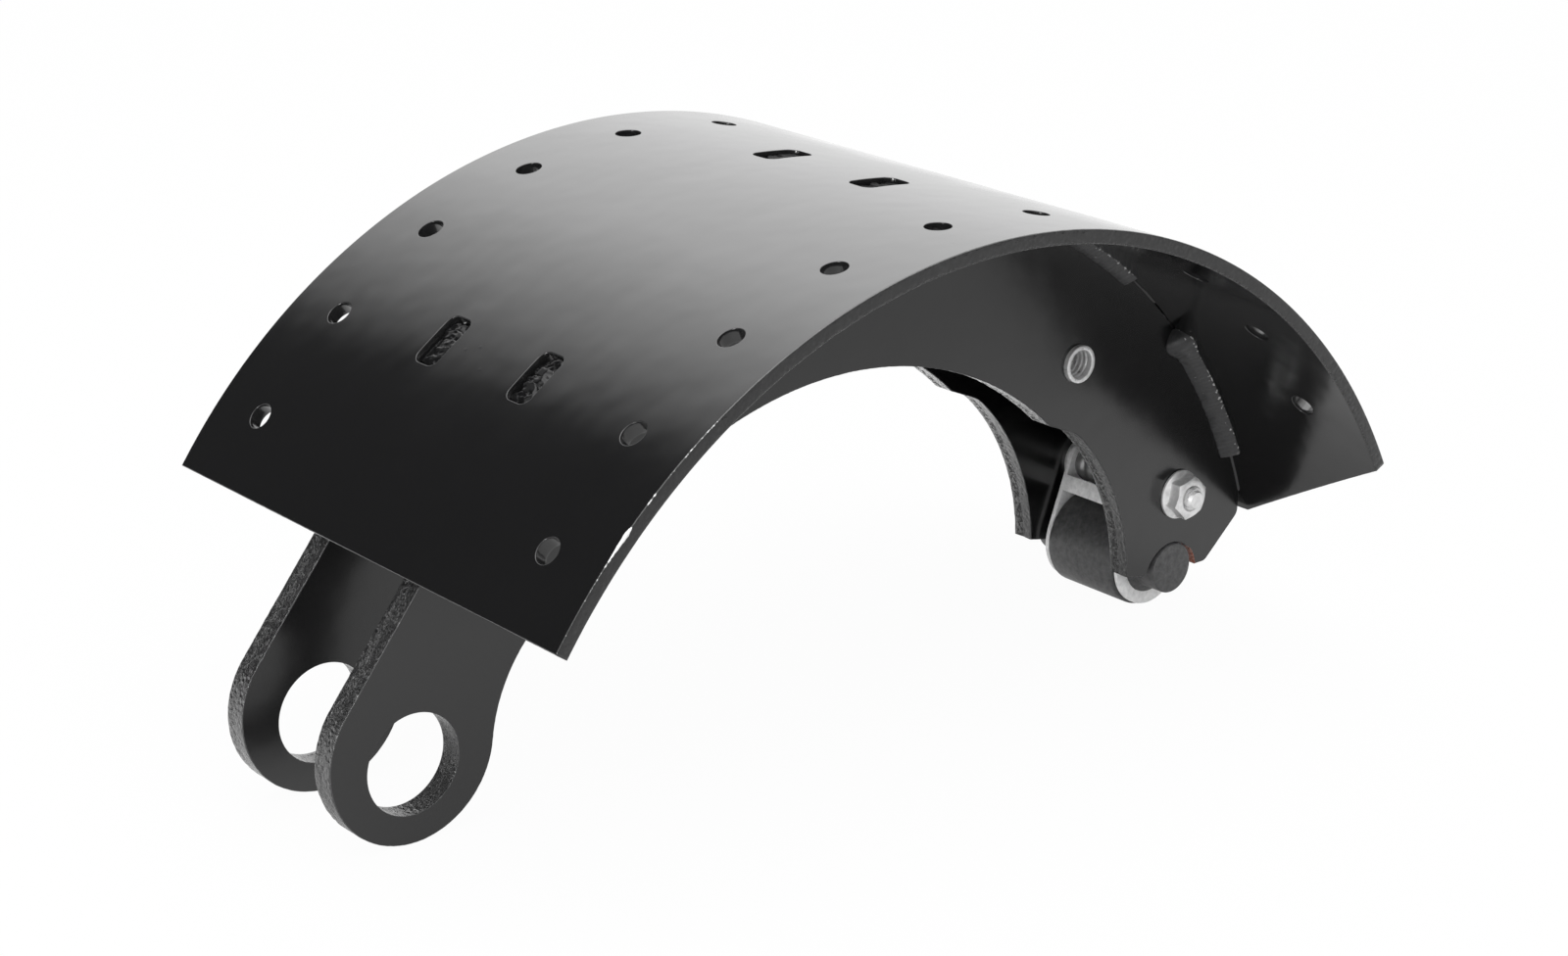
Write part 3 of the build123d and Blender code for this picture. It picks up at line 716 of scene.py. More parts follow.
weld_tree = node_tree("weld_run", [
    ("Start", "NodeSocketFloat"), ("End", "NodeSocketFloat"), ("Web Face", "NodeSocketFloat"),
    ("Side", "NodeSocketFloat"), ("Leg", "NodeSocketFloat"), ("Puddle", "NodeSocketFloat"),
    ("Thread", "NodeSocketFloat"), ("Seed", "NodeSocketFloat"), ("Rings", "NodeSocketInt"),
    ("Material", "NodeSocketMaterial"),
])
add_nodes(
    weld_tree,
    ("sheet", "GeometryNodeMeshGrid", {}, {
        "Size X": 1.0, "Size Y": 1.0, "Vertices X": "in:Rings", "Vertices Y": WELD_SECTION_POINTS + 2}),
    ("spot", "GeometryNodeInputPosition", {}, {}),
    ("parts", "ShaderNodeSeparateXYZ", {}, {0: "spot:0"}),
    math("share", "ADD", "parts:X", 0.5),
    math("round_raw", "MULTIPLY_ADD", "parts:Y", WELD_SECTION_POINTS + 1.0,
         0.5 * (WELD_SECTION_POINTS + 1)),
    math("round", "ROUND", "round_raw:0"),
    # The last point of the section but one is the weld's root, and the last closes it on the first.
    math("root_gap", "SUBTRACT", "round:0", float(WELD_SECTION_POINTS)),
    math("root_near", "ABSOLUTE", "root_gap:0"),
    math("off_root", "GREATER_THAN", "root_near:0", 0.5),
    math("turn_step", "MODULO", "round:0", WELD_SECTION_POINTS + 1.0),
    math("turn", "MULTIPLY", "turn_step:0", pi / 2 / (WELD_SECTION_POINTS - 1)),
    math("cosine", "COSINE", "turn:0"),
    math("sine", "SINE", "turn:0"),
    math("span", "SUBTRACT", "in:End", "in:Start"),
    math("angle", "MULTIPLY_ADD", "span:0", "share:0", "in:Start"),
    math("run_length", "MULTIPLY", "span:0", TABLE_INNER_RADIUS),
    math("from_start", "MULTIPLY", "share:0", "run_length:0"),
    math("from_end", "SUBTRACT", "run_length:0", "from_start:0"),
    math("start_nose", "DIVIDE", "from_start:0", START_NOSE),
    math("before_thread", "SUBTRACT", "from_end:0", "in:Thread"),
    math("end_nose", "DIVIDE", "before_thread:0", END_NOSE),
    math("nose", "MINIMUM", "start_nose:0", "end_nose:0"),
    math("nose_long", "MAXIMUM", "nose:0", 0.0),
    math("nose_short", "MINIMUM", "nose_long:0", 1.0),
    math("nose_left", "SUBTRACT", 1.0, "nose_short:0"),
    math("nose_square", "MULTIPLY", "nose_left:0", "nose_left:0"),
    math("nose_circle", "SUBTRACT", 1.0, "nose_square:0"),
    math("bead", "SQRT", "nose_circle:0"),
    # A thread of metal that runs on past the end
    math("thread_nose", "DIVIDE", "from_end:0", 10 * THREAD_SHARE * WELD_LEG),
    math("thread_there", "MULTIPLY", "in:Thread", 1 / WELD_LEG),
    math("thread_some", "MINIMUM", "thread_nose:0", "thread_there:0"),
    math("thread", "MINIMUM", "thread_some:0", THREAD_SHARE),
    math("nose_round", "MAXIMUM", "bead:0", "thread:0"),
    math("puddle_gap", "SUBTRACT", "from_start:0", PUDDLE_MIDDLE),
    math("puddle_share", "DIVIDE", "puddle_gap:0", PUDDLE_REACH),
    math("puddle_square", "MULTIPLY", "puddle_share:0", "puddle_share:0"),
    math("puddle_fall", "MULTIPLY", "puddle_square:0", -1.0),
    math("puddle_bell", "EXPONENT", "puddle_fall:0"),
    math("puddle", "MULTIPLY_ADD", "puddle_bell:0", "in:Puddle", 1.0),
    # Flat section with a slight crown
    math("flat_sum", "ADD", "cosine:0", "sine:0"),
    math("flat", "DIVIDE", "in:Leg", "flat_sum:0"),
    math("double_turn", "MULTIPLY", "turn:0", 2.0),
    math("crown_share", "SINE", "double_turn:0"),
    math("crown", "MULTIPLY_ADD", "crown_share:0", WELD_CROWN, 1.0),
    math("reach_flat", "MULTIPLY", "flat:0", "crown:0"),
    math("reach_puddle", "MULTIPLY", "reach_flat:0", "puddle:0"),
    # Ripples that trail back in the middle of the run
    math("trail", "MULTIPLY", "crown_share:0", WELD_TRAIL),
    math("ripple_turn", "MULTIPLY_ADD", "from_start:0", 2 * pi / WELD_RIPPLE_PITCH, "trail:0"),
    math("ripple_wave", "SINE", "ripple_turn:0"),
    math("ripple", "MULTIPLY", "ripple_wave:0", WELD_RIPPLE_HEIGHT),
    ("noise_spot", "ShaderNodeCombineXYZ", {}, {"X": "from_start:0", "Y": "in:Seed", "Z": "turn:0"}),
    vector("noise_scale", "MULTIPLY", "noise_spot:0", WELD_ROUGHNESS_SCALE),
    clouds("noise", "noise_scale:0", 1.0, 3.0),
    math("noise_centred", "SUBTRACT", "noise:Fac", 0.5),
    math("rough", "MULTIPLY_ADD", "noise_centred:0", 2 * WELD_ROUGHNESS_HEIGHT, "ripple:0"),
    math("reach_rough", "ADD", "reach_puddle:0", "rough:0"),
    math("reach_nose", "MULTIPLY", "reach_rough:0", "nose_round:0"),
    math("reach", "MULTIPLY", "reach_nose:0", "off_root:0"),
    math("down", "MULTIPLY_ADD", "reach:0", "cosine:0", -WELD_SINK),
    math("outward", "MULTIPLY_ADD", "reach:0", "sine:0", -WELD_SINK),
    math("radius", "SUBTRACT", TABLE_INNER_RADIUS, "down:0"),
    math("y", "MULTIPLY_ADD", "outward:0", "in:Side", "in:Web Face"),
    *round_drum("angle:0", "radius:0", "y:0"),
    math("toe", "MULTIPLY", "turn:0", 2 / pi),
    ("keep_toe", "GeometryNodeStoreNamedAttribute", {"data_type": "FLOAT", "domain": "POINT"}, {
        "Geometry": "sheet:Mesh", "Name": "toward_table", "Value": "toe:0"}),
    ("laid", "GeometryNodeSetPosition", {}, {"Geometry": "keep_toe:0", "Position": "place:0"}),
    ("closed", "GeometryNodeMergeByDistance", {}, {"Geometry": "laid:0", "Distance": WELD_MERGE}),
    ("smooth", "GeometryNodeSetShadeSmooth", {}, {"Geometry": "closed:0"}),
    ("whole", "GeometryNodeRealizeInstances", {}, {"Geometry": "smooth:0"}),
    ("finish", "GeometryNodeSetMaterial", {}, {"Geometry": "whole:0", "Material": "in:Material"}),
    ("out", None, {}, {0: "finish:0"}),
)

# Black paint over weld metal: satin and grainy, with light specks along the toe on the table as painted
# glints
PAINTED_WELD = surface(
    "painted_weld",
    ("toe", "ShaderNodeAttribute", {"attribute_name": "toward_table"}, {}),
    clouds("grain", "place:Object", 1500.0, 3.0, 0.6),
    clouds("chip", "place:Object", 700.0, 2.0),
    spread("edge", "toe:Fac", 0.72, 0.95, 0.0, 0.20),
    math("chip_sum", "ADD", "chip:Fac", "edge:0"),
    spread("chip_here", "chip_sum:0", 0.74, 0.79),
    spread("tone", "grain:Fac", 0.3, 0.7, 0.7, 1.35),
    scaled("dark", WELD_COLOUR[:3], "tone:0"),
    blend("colour", "chip_here:0", "dark:0", WELD_GLINT_COLOUR),
    spread("gloss", "grain:Fac", 0.3, 0.7, 0.30, 0.46),
    relief("bump", "grain:Fac", WELD_GRAIN_DEPTH, 0.6),
    Base_Color="colour:Result", Roughness="gloss:0", Normal="bump:0",
)
weld_ends = [WELD_FIRST_ANGLE]
for slot_angle in SLOT_ANGLES:
    weld_ends += [slot_angle - WELD_GAP_ANGLE, slot_angle + WELD_GAP_ANGLE]
weld_ends.append(WELD_LAST_ANGLE)
for side, side_name in ((-1, "near"), (1, "far")):
    low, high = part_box(f"web_{side_name}")
    for number in range(1, len(SLOT_ANGLES) + 2):
        start, end = weld_ends[2 * number - 2 : 2 * number]
        last = number == len(SLOT_ANGLES) + 1
        thread = THREAD_ANGLE if side < 0 and number >= len(SLOT_ANGLES) else 0
        end += thread
        weld = grow(f"web_weld_{side_name}_{number}_run", weld_tree, {
            "Start": radians(start) - SEAT_TURN,
            "End": radians(end) - SEAT_TURN,
            "Web Face": low.y if side < 0 else high.y,
            "Side": float(side),
            "Leg": LAST_WELD_LEG if last else WELD_LEG,
            "Puddle": WELD_PUDDLE if last else WELD_START_SWELL,
            "Thread": radians(thread) * TABLE_INNER_RADIUS,
            "Seed": 3.7 * number + side,
            "Rings": round(radians(end - start) * TABLE_INNER_RADIUS / WELD_RING_SPACING),
            "Material": PAINTED_WELD,
        })
        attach(weld, "shoe")
        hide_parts(f"web_weld_{side_name}_{number}")

# --- Welds in the slots ---
# A short weld across each slot fixes the web's tab from outside. Its metal lies in lumps over the
# tab, a little below the face of the table, and leaves the ends of the slot open.

TAB_WELD_DEPTH = 2.5 * MM
TAB_WELD_TOP = 1.2 * MM
TAB_WELD_LENGTH = 12.0 * MM
LUMP_COUNT = 5
LUMP_LENGTH = 2.6 * MM
LUMP_WIDTH = 4.9 * MM
LUMP_HEIGHT = 1.6 * MM
LUMP_ROUGHNESS = 1.1 * MM
LUMP_ROUGHNESS_SCALE = (520.0, 520.0, 520.0)
LUMP_PAINT_ROUGHNESS = 0.10
LUMP_PAINT_IOR = 1.3
DULL_PAINT_ROUGHNESS = 0.5
DULL_PAINT_IOR = 1.1

lump_tree = node_tree("tab_weld", [
    ("Middle", "NodeSocketFloat"), ("Slot Middle", "NodeSocketFloat"), ("Seed", "NodeSocketInt"),
    ("Material", "NodeSocketMaterial"),
])
add_nodes(
    lump_tree,
    ("row", "GeometryNodeMeshLine", {"mode": "END_POINTS"}, {
        "Count": LUMP_COUNT, "Start Location": (0, -TAB_WELD_LENGTH / 2, 0),
        "Offset": (0, TAB_WELD_LENGTH / 2, 0)}),
    ("lump", "GeometryNodeMeshIcoSphere", {}, {"Radius": 1.0, "Subdivisions": 4}),
    ("size", "FunctionNodeRandomValue", {"data_type": "FLOAT_VECTOR"}, {
        0: (0.8 * LUMP_WIDTH, 0.8 * LUMP_LENGTH, 0.7 * LUMP_HEIGHT),
        1: (1.1 * LUMP_WIDTH, 1.2 * LUMP_LENGTH, 1.1 * LUMP_HEIGHT), "Seed": "in:Seed"}),
    ("turned", "FunctionNodeRandomValue", {"data_type": "FLOAT_VECTOR"}, {
        0: (-0.2, -0.2, -0.5), 1: (0.2, 0.2, 0.5), "Seed": "in:Seed"}),
    ("lumps", "GeometryNodeInstanceOnPoints", {}, {
        "Points": "row:0", "Instance": "lump:0", "Rotation": "turned:0", "Scale": "size:0"}),
    ("loose", "GeometryNodeRealizeInstances", {}, {"Geometry": "lumps:0"}),
    ("spot", "GeometryNodeInputPosition", {}, {}),
    ("seed_move", "ShaderNodeCombineXYZ", {}, {"X": "in:Seed", "Y": "in:Middle"}),
    vector("noise_scale", "MULTIPLY_ADD", "spot:0", LUMP_ROUGHNESS_SCALE, "seed_move:0"),
    clouds("noise", "noise_scale:0", 1.0, 2.0),
    math("centred", "SUBTRACT", "noise:Fac", 0.5),
    math("push", "MULTIPLY", "centred:0", 2 * LUMP_ROUGHNESS),
    ("facing", "GeometryNodeInputNormal", {}, {}),
    scaled("shift", "facing:0", "push:0"),
    vector("rough", "ADD", "spot:0", "shift:0"),
    ("parts", "ShaderNodeSeparateXYZ", {}, {0: "rough:0"}),
    # The lumps stay between the walls of the slot and under the face of the table.
    math("width_low", "MAXIMUM", "parts:X", -LUMP_WIDTH),
    math("width", "MINIMUM", "width_low:0", LUMP_WIDTH),
    math("angle", "MULTIPLY_ADD", "parts:Y", 1 / TABLE_OUTER_RADIUS, "in:Middle"),
    math("height", "MINIMUM", "parts:Z", TAB_WELD_DEPTH - TAB_WELD_TOP),
    math("radius", "ADD", "height:0", TABLE_OUTER_RADIUS - TAB_WELD_DEPTH),
    math("y", "ADD", "width:0", "in:Slot Middle"),
    *round_drum("angle:0", "radius:0", "y:0"),
    ("laid", "GeometryNodeSetPosition", {}, {"Geometry": "loose:0", "Position": "place:0"}),
    ("smooth", "GeometryNodeSetShadeSmooth", {}, {"Geometry": "laid:0"}),
    ("whole", "GeometryNodeRealizeInstances", {}, {"Geometry": "smooth:0"}),
    ("finish", "GeometryNodeSetMaterial", {}, {"Geometry": "whole:0", "Material": "in:Material"}),
    ("out", None, {}, {0: "finish:0"}),
)

LUMP_PAINT = black_paint(
    "black_paint_in_slots", LUMP_PAINT_ROUGHNESS, SHEARED_EDGE_HIGHLIGHT_COLOUR, SHEARED_DEPTH, LUMP_PAINT_IOR)
# The paint dried dull on the welds at the crown and the toe.
DULL_LUMP_PAINT = black_paint(
    "dull_black_paint_in_slots", DULL_PAINT_ROUGHNESS, SHEARED_EDGE_HIGHLIGHT_COLOUR, SHEARED_DEPTH, DULL_PAINT_IOR)
for side, side_name in ((-1, "near"), (1, "far")):
    for number, slot_angle in enumerate(SLOT_ANGLES, 1):
        node = f"tab_weld_{side_name}_{number}"
        low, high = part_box(node)
        tab_weld = grow(f"{node}_lumps", lump_tree, {
            "Middle": radians(slot_angle) - SEAT_TURN,
            "Slot Middle": (low.y + high.y) / 2,
            "Seed": 10 * number + side,
            "Material": LUMP_PAINT if number == 1 else DULL_LUMP_PAINT,
        })
        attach(tab_weld, "shoe")
        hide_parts(node)

# --- Return spring sleeve ---
# A short tube turned from steel bar, left bright, with the drill's grooves in its bore. It is
# pressed through both webs, and the hook of the return spring goes through it.

LATHE_STEPS = 120
TURNED_MERGE = 0.002 * MM
TURNED_SHARP_ANGLE = radians(35)
# The tool's rings run round the axis, so their pattern is tight along Y only.
RING_SCALE = (60.0, 3200.0, 60.0)
SLEEVE_BORE_RADIUS = 4.65 * MM
SLEEVE_ROUNDING = 0.45 * MM
BRIGHT_STEEL_COLOUR = (0.80, 0.80, 0.80, 1)
BORE_GROOVE_PITCH = 1.9 * MM
BORE_GROOVE_DEPTH = 0.30 * MM
BORE_GROOVE_COUNT = 4
BORE_GROOVE_ROUNDING = 0.1 * MM


def rounded(corners, steps=5):
    """A closed outline of (along, out) points from corners of (along, out, rounding)."""
    points = []
    for i, (along, out, rounding) in enumerate(corners):
        corner = Vector((along, out))
        if not rounding:
            points.append(corner)
            continue
        before = Vector(corners[i - 1][:2]) - corner
        after = Vector(corners[(i + 1) % len(corners)][:2]) - corner
        reach = rounding / abs(before.normalized().cross(after.normalized())) * (
            1 + before.normalized().dot(after.normalized()))
        first = corner + before.normalized() * reach
        last = corner + after.normalized() * reach
        for k in range(steps + 1):
            t = k / steps
            # A quadratic through the corner stands in for the small arc.
            points.append(first * (1 - t) ** 2 + corner * (2 * t * (1 - t)) + last * t * t)
    return points


def lathe(name, outline, axis, material, uneven=None):
    """A turned piece from its closed outline of (along the axis, out from it) points.

    uneven gives how far a point stands out, from its place along and its angle round the axis."""
    turned = bmesh.new()
    rows = []
    for k in range(LATHE_STEPS):
        angle = 2 * pi * k / LATHE_STEPS
        row = []
        for along, out in outline:
            lift = uneven(along, angle) if uneven and out > 0 else 0
            spot = ((out + lift) * sin(angle), along, (out + lift) * cos(angle))
            row.append(turned.verts.new(axis + Vector(spot)))
        rows.append(row)
    count = len(outline)
    for k in range(LATHE_STEPS):
        here, after = rows[k], rows[(k + 1) % LATHE_STEPS]
        for i in range(count):
            j = (i + 1) % count
            if outline[i][1] or outline[j][1]:
                turned.faces.new((here[i], here[j], after[j], after[i]))
    mesh = bpy.data.meshes.new(name)
    close_up(turned, mesh, TURNED_MERGE)
    mesh.shade_smooth()
    mesh.set_sharp_from_angle(angle=TURNED_SHARP_ANGLE)
    mesh.materials.append(material)
    return add_object(name, mesh)


def bright_metal(name, colour, roughness, ring_height, metallic):
    """Bare or plated steel: faint rings from the tool along Y, clouded and lightly stained."""
    return surface(
        name,
        ("rings_scale", "ShaderNodeMapping", {}, {"Vector": "place:Object", "Scale": RING_SCALE}),
        clouds("rings", "rings_scale:0", 1.0, 2.0),
        clouds("cloud", "place:Object", 420.0, 4.0, 0.6),
        spread("gloss", "cloud:Fac", 0.3, 0.7, 0.75 * roughness, 1.3 * roughness),
        spread("tone", "cloud:Fac", 0.25, 0.75, 0.72, 1.12),
        scaled("colour", colour[:3], "tone:0"),
        math("height", "MULTIPLY_ADD", "cloud:Fac", 0.5, "rings:Fac"),
        relief("bump", "height:0", ring_height, 0.6),
        Base_Color="colour:0", Roughness="gloss:0", Normal="bump:0", Metallic=metallic,
    )


def half_size(node):
    """Half the length along the bore, and the radius, of a round CAD node."""
    low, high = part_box(node)
    return (high.y - low.y) / 2, (high.x - low.x) / 2


def middle_of(node):
    """The point half way along a round CAD node's axis."""
    low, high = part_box(node)
    return (low + high) / 2


BRIGHT_STEEL = bright_metal(
    "bright_turned_steel", BRIGHT_STEEL_COLOUR, roughness=0.32, ring_height=0.03 * MM, metallic=0.5)
half_length, sleeve_radius = half_size("return_spring_sleeve")
grooves = []
for k in range(BORE_GROOVE_COUNT):
    for step, depth in ((1, 0), (1.25, BORE_GROOVE_DEPTH), (1.5, 0)):
        along = half_length - (k + step) * BORE_GROOVE_PITCH
        grooves.append((along, SLEEVE_BORE_RADIUS + depth, BORE_GROOVE_ROUNDING))
sleeve = lathe(
    "return_spring_sleeve_tube",
    rounded([
        (-half_length, SLEEVE_BORE_RADIUS, SLEEVE_ROUNDING),
        (-half_length, sleeve_radius, SLEEVE_ROUNDING),
        (half_length, sleeve_radius, SLEEVE_ROUNDING),
        (half_length, SLEEVE_BORE_RADIUS, SLEEVE_ROUNDING),
        *grooves,
        *((-along, out, rounding) for along, out, rounding in reversed(grooves)),
    ]),
    middle_of("return_spring_sleeve"), BRIGHT_STEEL,
)
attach(sleeve, "shoe")
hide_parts("return_spring_sleeve")

# --- Cam roller ---
# Forged in one piece with its journals and hardened, left in its dark oxide. It turns in the
# notches of the webs, and the cam pushes on its barrel.

ROLLER_RADIUS = 16.2 * MM
ROLLER_HALF_LENGTH = 15.0 * MM
ROLLER_ROUNDING = 1.3 * MM
COLLAR_RADIUS = 11.0 * MM
COLLAR_END = 17.2 * MM
JOURNAL_RADIUS = 8.65 * MM
JOURNAL_ROUNDING = 0.7 * MM
JOURNAL_FILLET = 0.9 * MM
COLLAR_CONE = 1.3 * MM
COLLAR_ROUNDING = 0.3 * MM
COLLAR_FILLET = 0.2 * MM
FORGED_UNEVENNESS = 0.04 * MM
FORGED_PITCH = 6 * MM
FORGED_GRAIN_DEPTH = 0.03 * MM
DARK_STEEL_COLOUR = (0.052, 0.052, 0.053, 1)


# Hardened steel in dark oxide: satin and mottled
DARK_STEEL = surface(
    "dark_forged_steel",
    clouds("cloud", "place:Object", 480.0, 5.0, 0.7),
    clouds("grain", "place:Object", 1800.0, 2.0),
    spread("tone", "cloud:Fac", 0.3, 0.7, 0.6, 1.6),
    scaled("colour", DARK_STEEL_COLOUR[:3], "tone:0"),
    spread("gloss", "cloud:Fac", 0.3, 0.7, 0.52, 0.40),
    relief("bump", "grain:Fac", FORGED_GRAIN_DEPTH, 0.5),
    Base_Color="colour:0", Roughness="gloss:0", Normal="bump:0",
)
journal_end, _ = half_size("cam_roller")
half_outline = [
    (journal_end, JOURNAL_RADIUS, JOURNAL_ROUNDING),
    (COLLAR_END + COLLAR_CONE, JOURNAL_RADIUS, JOURNAL_FILLET),
    (COLLAR_END, COLLAR_RADIUS, COLLAR_ROUNDING),
    (ROLLER_HALF_LENGTH, COLLAR_RADIUS, COLLAR_FILLET),
    (ROLLER_HALF_LENGTH, ROLLER_RADIUS, ROLLER_ROUNDING),
]
roller = lathe(
    "cam_roller_forging",
    rounded(
        [(journal_end, 0, 0)] + half_outline
        + [(-along, out, rounding) for along, out, rounding in reversed(half_outline)]
        + [(-journal_end, 0, 0)]
    ),
    middle_of("cam_roller"), DARK_STEEL,
    uneven=lambda along, angle: FORGED_UNEVENNESS * (
        noise.noise(Vector((along / FORGED_PITCH, 2 * sin(angle), 2 * cos(angle)))) - 1
    ),
)
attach(roller, "roller")
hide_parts("cam_roller")

# --- Roller bracket ---
# Bent from 1.5 mm sheet and zinc plated. Its two cheeks hold the roller's collars and hang on the
# bolt, and the bridge behind the roller joins them.

BRACKET_EDGE_ROUNDING = 0.25 * MM
ZINC_COLOUR = (0.84, 0.84, 0.84, 1)
ZINC_SHEET_COLOUR = (0.95, 0.95, 0.95, 1)

ZINC_SHEET = bright_metal(
    "zinc_plated_sheet", ZINC_SHEET_COLOUR, roughness=0.45, ring_height=0.008 * MM, metallic=0.1)
ZINC = bright_metal(
    "zinc_plated_steel", ZINC_COLOUR, roughness=0.38, ring_height=0.008 * MM, metallic=0.6)


def soft_copy(name, node, rounding, material, flat=radians(1), sharp=radians(30)):
    """A copy of a CAD node with its flats whole again, its edges rounded and its arcs smooth."""
    solid = cad_copy(node)
    bmesh.ops.dissolve_limit(solid, angle_limit=flat, verts=solid.verts, edges=solid.edges)
    mesh = bpy.data.meshes.new(name)
    solid.to_mesh(mesh)
    solid.free()
    piece = add_object(name, mesh)
    bevel = piece.modifiers.new("rounding", "BEVEL")
    bevel.width = rounding
    bevel.segments = 3
    bevel.limit_method = "ANGLE"
    bevel.angle_limit = sharp
    bevel.miter_outer = "MITER_ARC"
    shown = piece.evaluated_get(bpy.context.evaluated_depsgraph_get())
    piece.data = bpy.data.meshes.new_from_object(shown)
    piece.modifiers.clear()
    piece.data.name = name
    piece.data.materials.clear()
    piece.data.materials.append(material)
    piece.data.shade_smooth()
    piece.data.set_sharp_from_angle(angle=sharp)
    return piece


bracket = soft_copy("roller_bracket_sheet", "roller_bracket", BRACKET_EDGE_ROUNDING, ZINC_SHEET)
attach(bracket, "shoe")
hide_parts("roller_bracket")

# --- Spacer and washers on the bracket bolt ---
# A tube rolled from dull zinc-plated strip, drawn darker as painted shade between the cheeks, keeps
# them apart, and a plated steel washer fills the gap between each cheek and its web. The bracket's
# bolt goes through them all.

SPACER_RING_PITCH = 4.4 * MM
SPACER_RING_HEIGHT = 0.60 * MM
SPACER_STEPS = 90
BOLT_HOLE_RADIUS = 4.3 * MM
WASHER_ROUNDING = 0.25 * MM
# Dull zinc drawn darker than the other zinc, as painted shade on the spacer between the cheeks
DULL_SHADED_ZINC_COLOUR = (0.30, 0.30, 0.30, 1)

half_length, spacer_radius = half_size("bracket_spacer")
outer_line = []
for k in range(SPACER_STEPS + 1):
    along = half_length * (1 - 2 * k / SPACER_STEPS)
    dip = SPACER_RING_HEIGHT * (0.5 - 0.5 * cos(2 * pi * along / SPACER_RING_PITCH)) ** 2
    outer_line.append(Vector((along, spacer_radius - dip)))
DULL_SHADED_ZINC = bright_metal(
    "dull_zinc_with_painted_shade", DULL_SHADED_ZINC_COLOUR, roughness=0.40, ring_height=0.02 * MM, metallic=0.8)
spacer = lathe(
    "bracket_spacer_tube",
    [Vector((-half_length, BOLT_HOLE_RADIUS)), Vector((half_length, BOLT_HOLE_RADIUS))] + outer_line,
    middle_of("bracket_spacer"), DULL_SHADED_ZINC,
)
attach(spacer, "shoe")
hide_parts("bracket_spacer")

for side_name in ("near", "far"):
    node = f"bracket_washer_{side_name}"
    half_length, washer_radius = half_size(node)
    washer = lathe(
        f"{node}_ring",
        rounded([
            (-half_length, BOLT_HOLE_RADIUS, WASHER_ROUNDING),
            (-half_length, washer_radius, WASHER_ROUNDING),
            (half_length, washer_radius, WASHER_ROUNDING),
            (half_length, BOLT_HOLE_RADIUS, WASHER_ROUNDING),
        ]),
        middle_of(node), ZINC,
    )
    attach(washer, "shoe")
    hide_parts(node)

# --- Bracket bolt and nut ---
# An M8 flanged bolt and its flanged nut, both cold formed from steel and zinc plated. The bolt goes
# in from the far web, and its end stands out of the nut on the near one.

BOLT_RADIUS = 4.0 * MM
THREAD_PITCH = 1.25 * MM
THREAD_DEPTH = 0.68 * MM
BOLT_POINT_LENGTH = 1.1 * MM
BOLT_POINT_RADIUS = 2.7 * MM
ACROSS_FLATS = 13.0 * MM
HEX_TURN = radians(17.0)
FLANGE_RADIUS = 8.3 * MM
FLANGE_RIM = 1.0 * MM
FLANGE_HEIGHT = 2.2 * MM
FLANGE_EDGE = 0.35 * MM
HEX_CROWN_RADIUS = 6.0 * MM
HEX_FLAT_SHARE = 0.98
HEX_START_SHARE = 0.4
HEX_SHARP_ANGLE = radians(28)
BORE_CHAMFER = 0.8 * MM
BOLT_POINT_ROUNDING = 0.2 * MM
SHANK_IN_HEAD = 1 * MM
THREAD_RUN_OUT = 0.1 * MM
HEX_CHAMFER_SLOPE = 0.5
HEX_RINGS = 46
HEX_STEPS = 144


def hex_radius(angle):
    """Distance from the axis to the side of the hexagon at an angle from +X towards +Z."""
    return ACROSS_FLATS / 2 / cos((angle - HEX_TURN) % (pi / 3) - pi / 6)


def flanged_hex(name, axis, face, outward, height, bore, crown):
    """A hexagon with a round flange, standing out along Y from the web's face.

    bore is the radius of the hole in it, or 0, and crown the radius where its top chamfer starts."""
    turns = [2 * pi * k / HEX_STEPS + HEX_TURN for k in range(HEX_STEPS)]
    rings = []
    for k in range(HEX_RINGS + 1):
        level = height * k / HEX_RINGS
        rim_share = min(1, max(0, (level - FLANGE_RIM) / (FLANGE_HEIGHT - FLANGE_RIM)))
        flange = FLANGE_RADIUS - (FLANGE_RADIUS - HEX_FLAT_SHARE * ACROSS_FLATS / 2) * rim_share
        flange -= FLANGE_EDGE - (FLANGE_EDGE ** 2 - max(0, FLANGE_EDGE - level) ** 2) ** 0.5
        chamfer = crown + (height - level) / HEX_CHAMFER_SLOPE
        above = level > HEX_START_SHARE * FLANGE_HEIGHT
        rings.append([
            (min(max(flange, hex_radius(turn) if above else 0), chamfer), level) for turn in turns])
    # The chamfer of the bore, or a flat top without one, and the way back down the bore
    rings.append([(bore + BORE_CHAMFER if bore else 0.5 * crown, height)] * HEX_STEPS)
    rings.append([(bore, height - BORE_CHAMFER if bore else height)] * HEX_STEPS)
    rings.append([(bore, 0)] * HEX_STEPS)
    built = bmesh.new()
    rows = []
    for ring in rings:
        row = []
        for (reach, level), turn in zip(ring, turns):
            x, z = axis.x + reach * cos(turn), axis.z + reach * sin(turn)
            row.append(built.verts.new((x, face + outward * level, z)))
        rows.append(row)
    for i, here in enumerate(rows):
        after = rows[(i + 1) % len(rows)]
        if not rings[i][0][0] and not rings[(i + 1) % len(rings)][0][0]:
            continue
        for k in range(HEX_STEPS):
            m = (k + 1) % HEX_STEPS
            built.faces.new((here[k], here[m], after[m], after[k]))
    mesh = bpy.data.meshes.new(name)
    close_up(built, mesh, TURNED_MERGE)
    return mesh


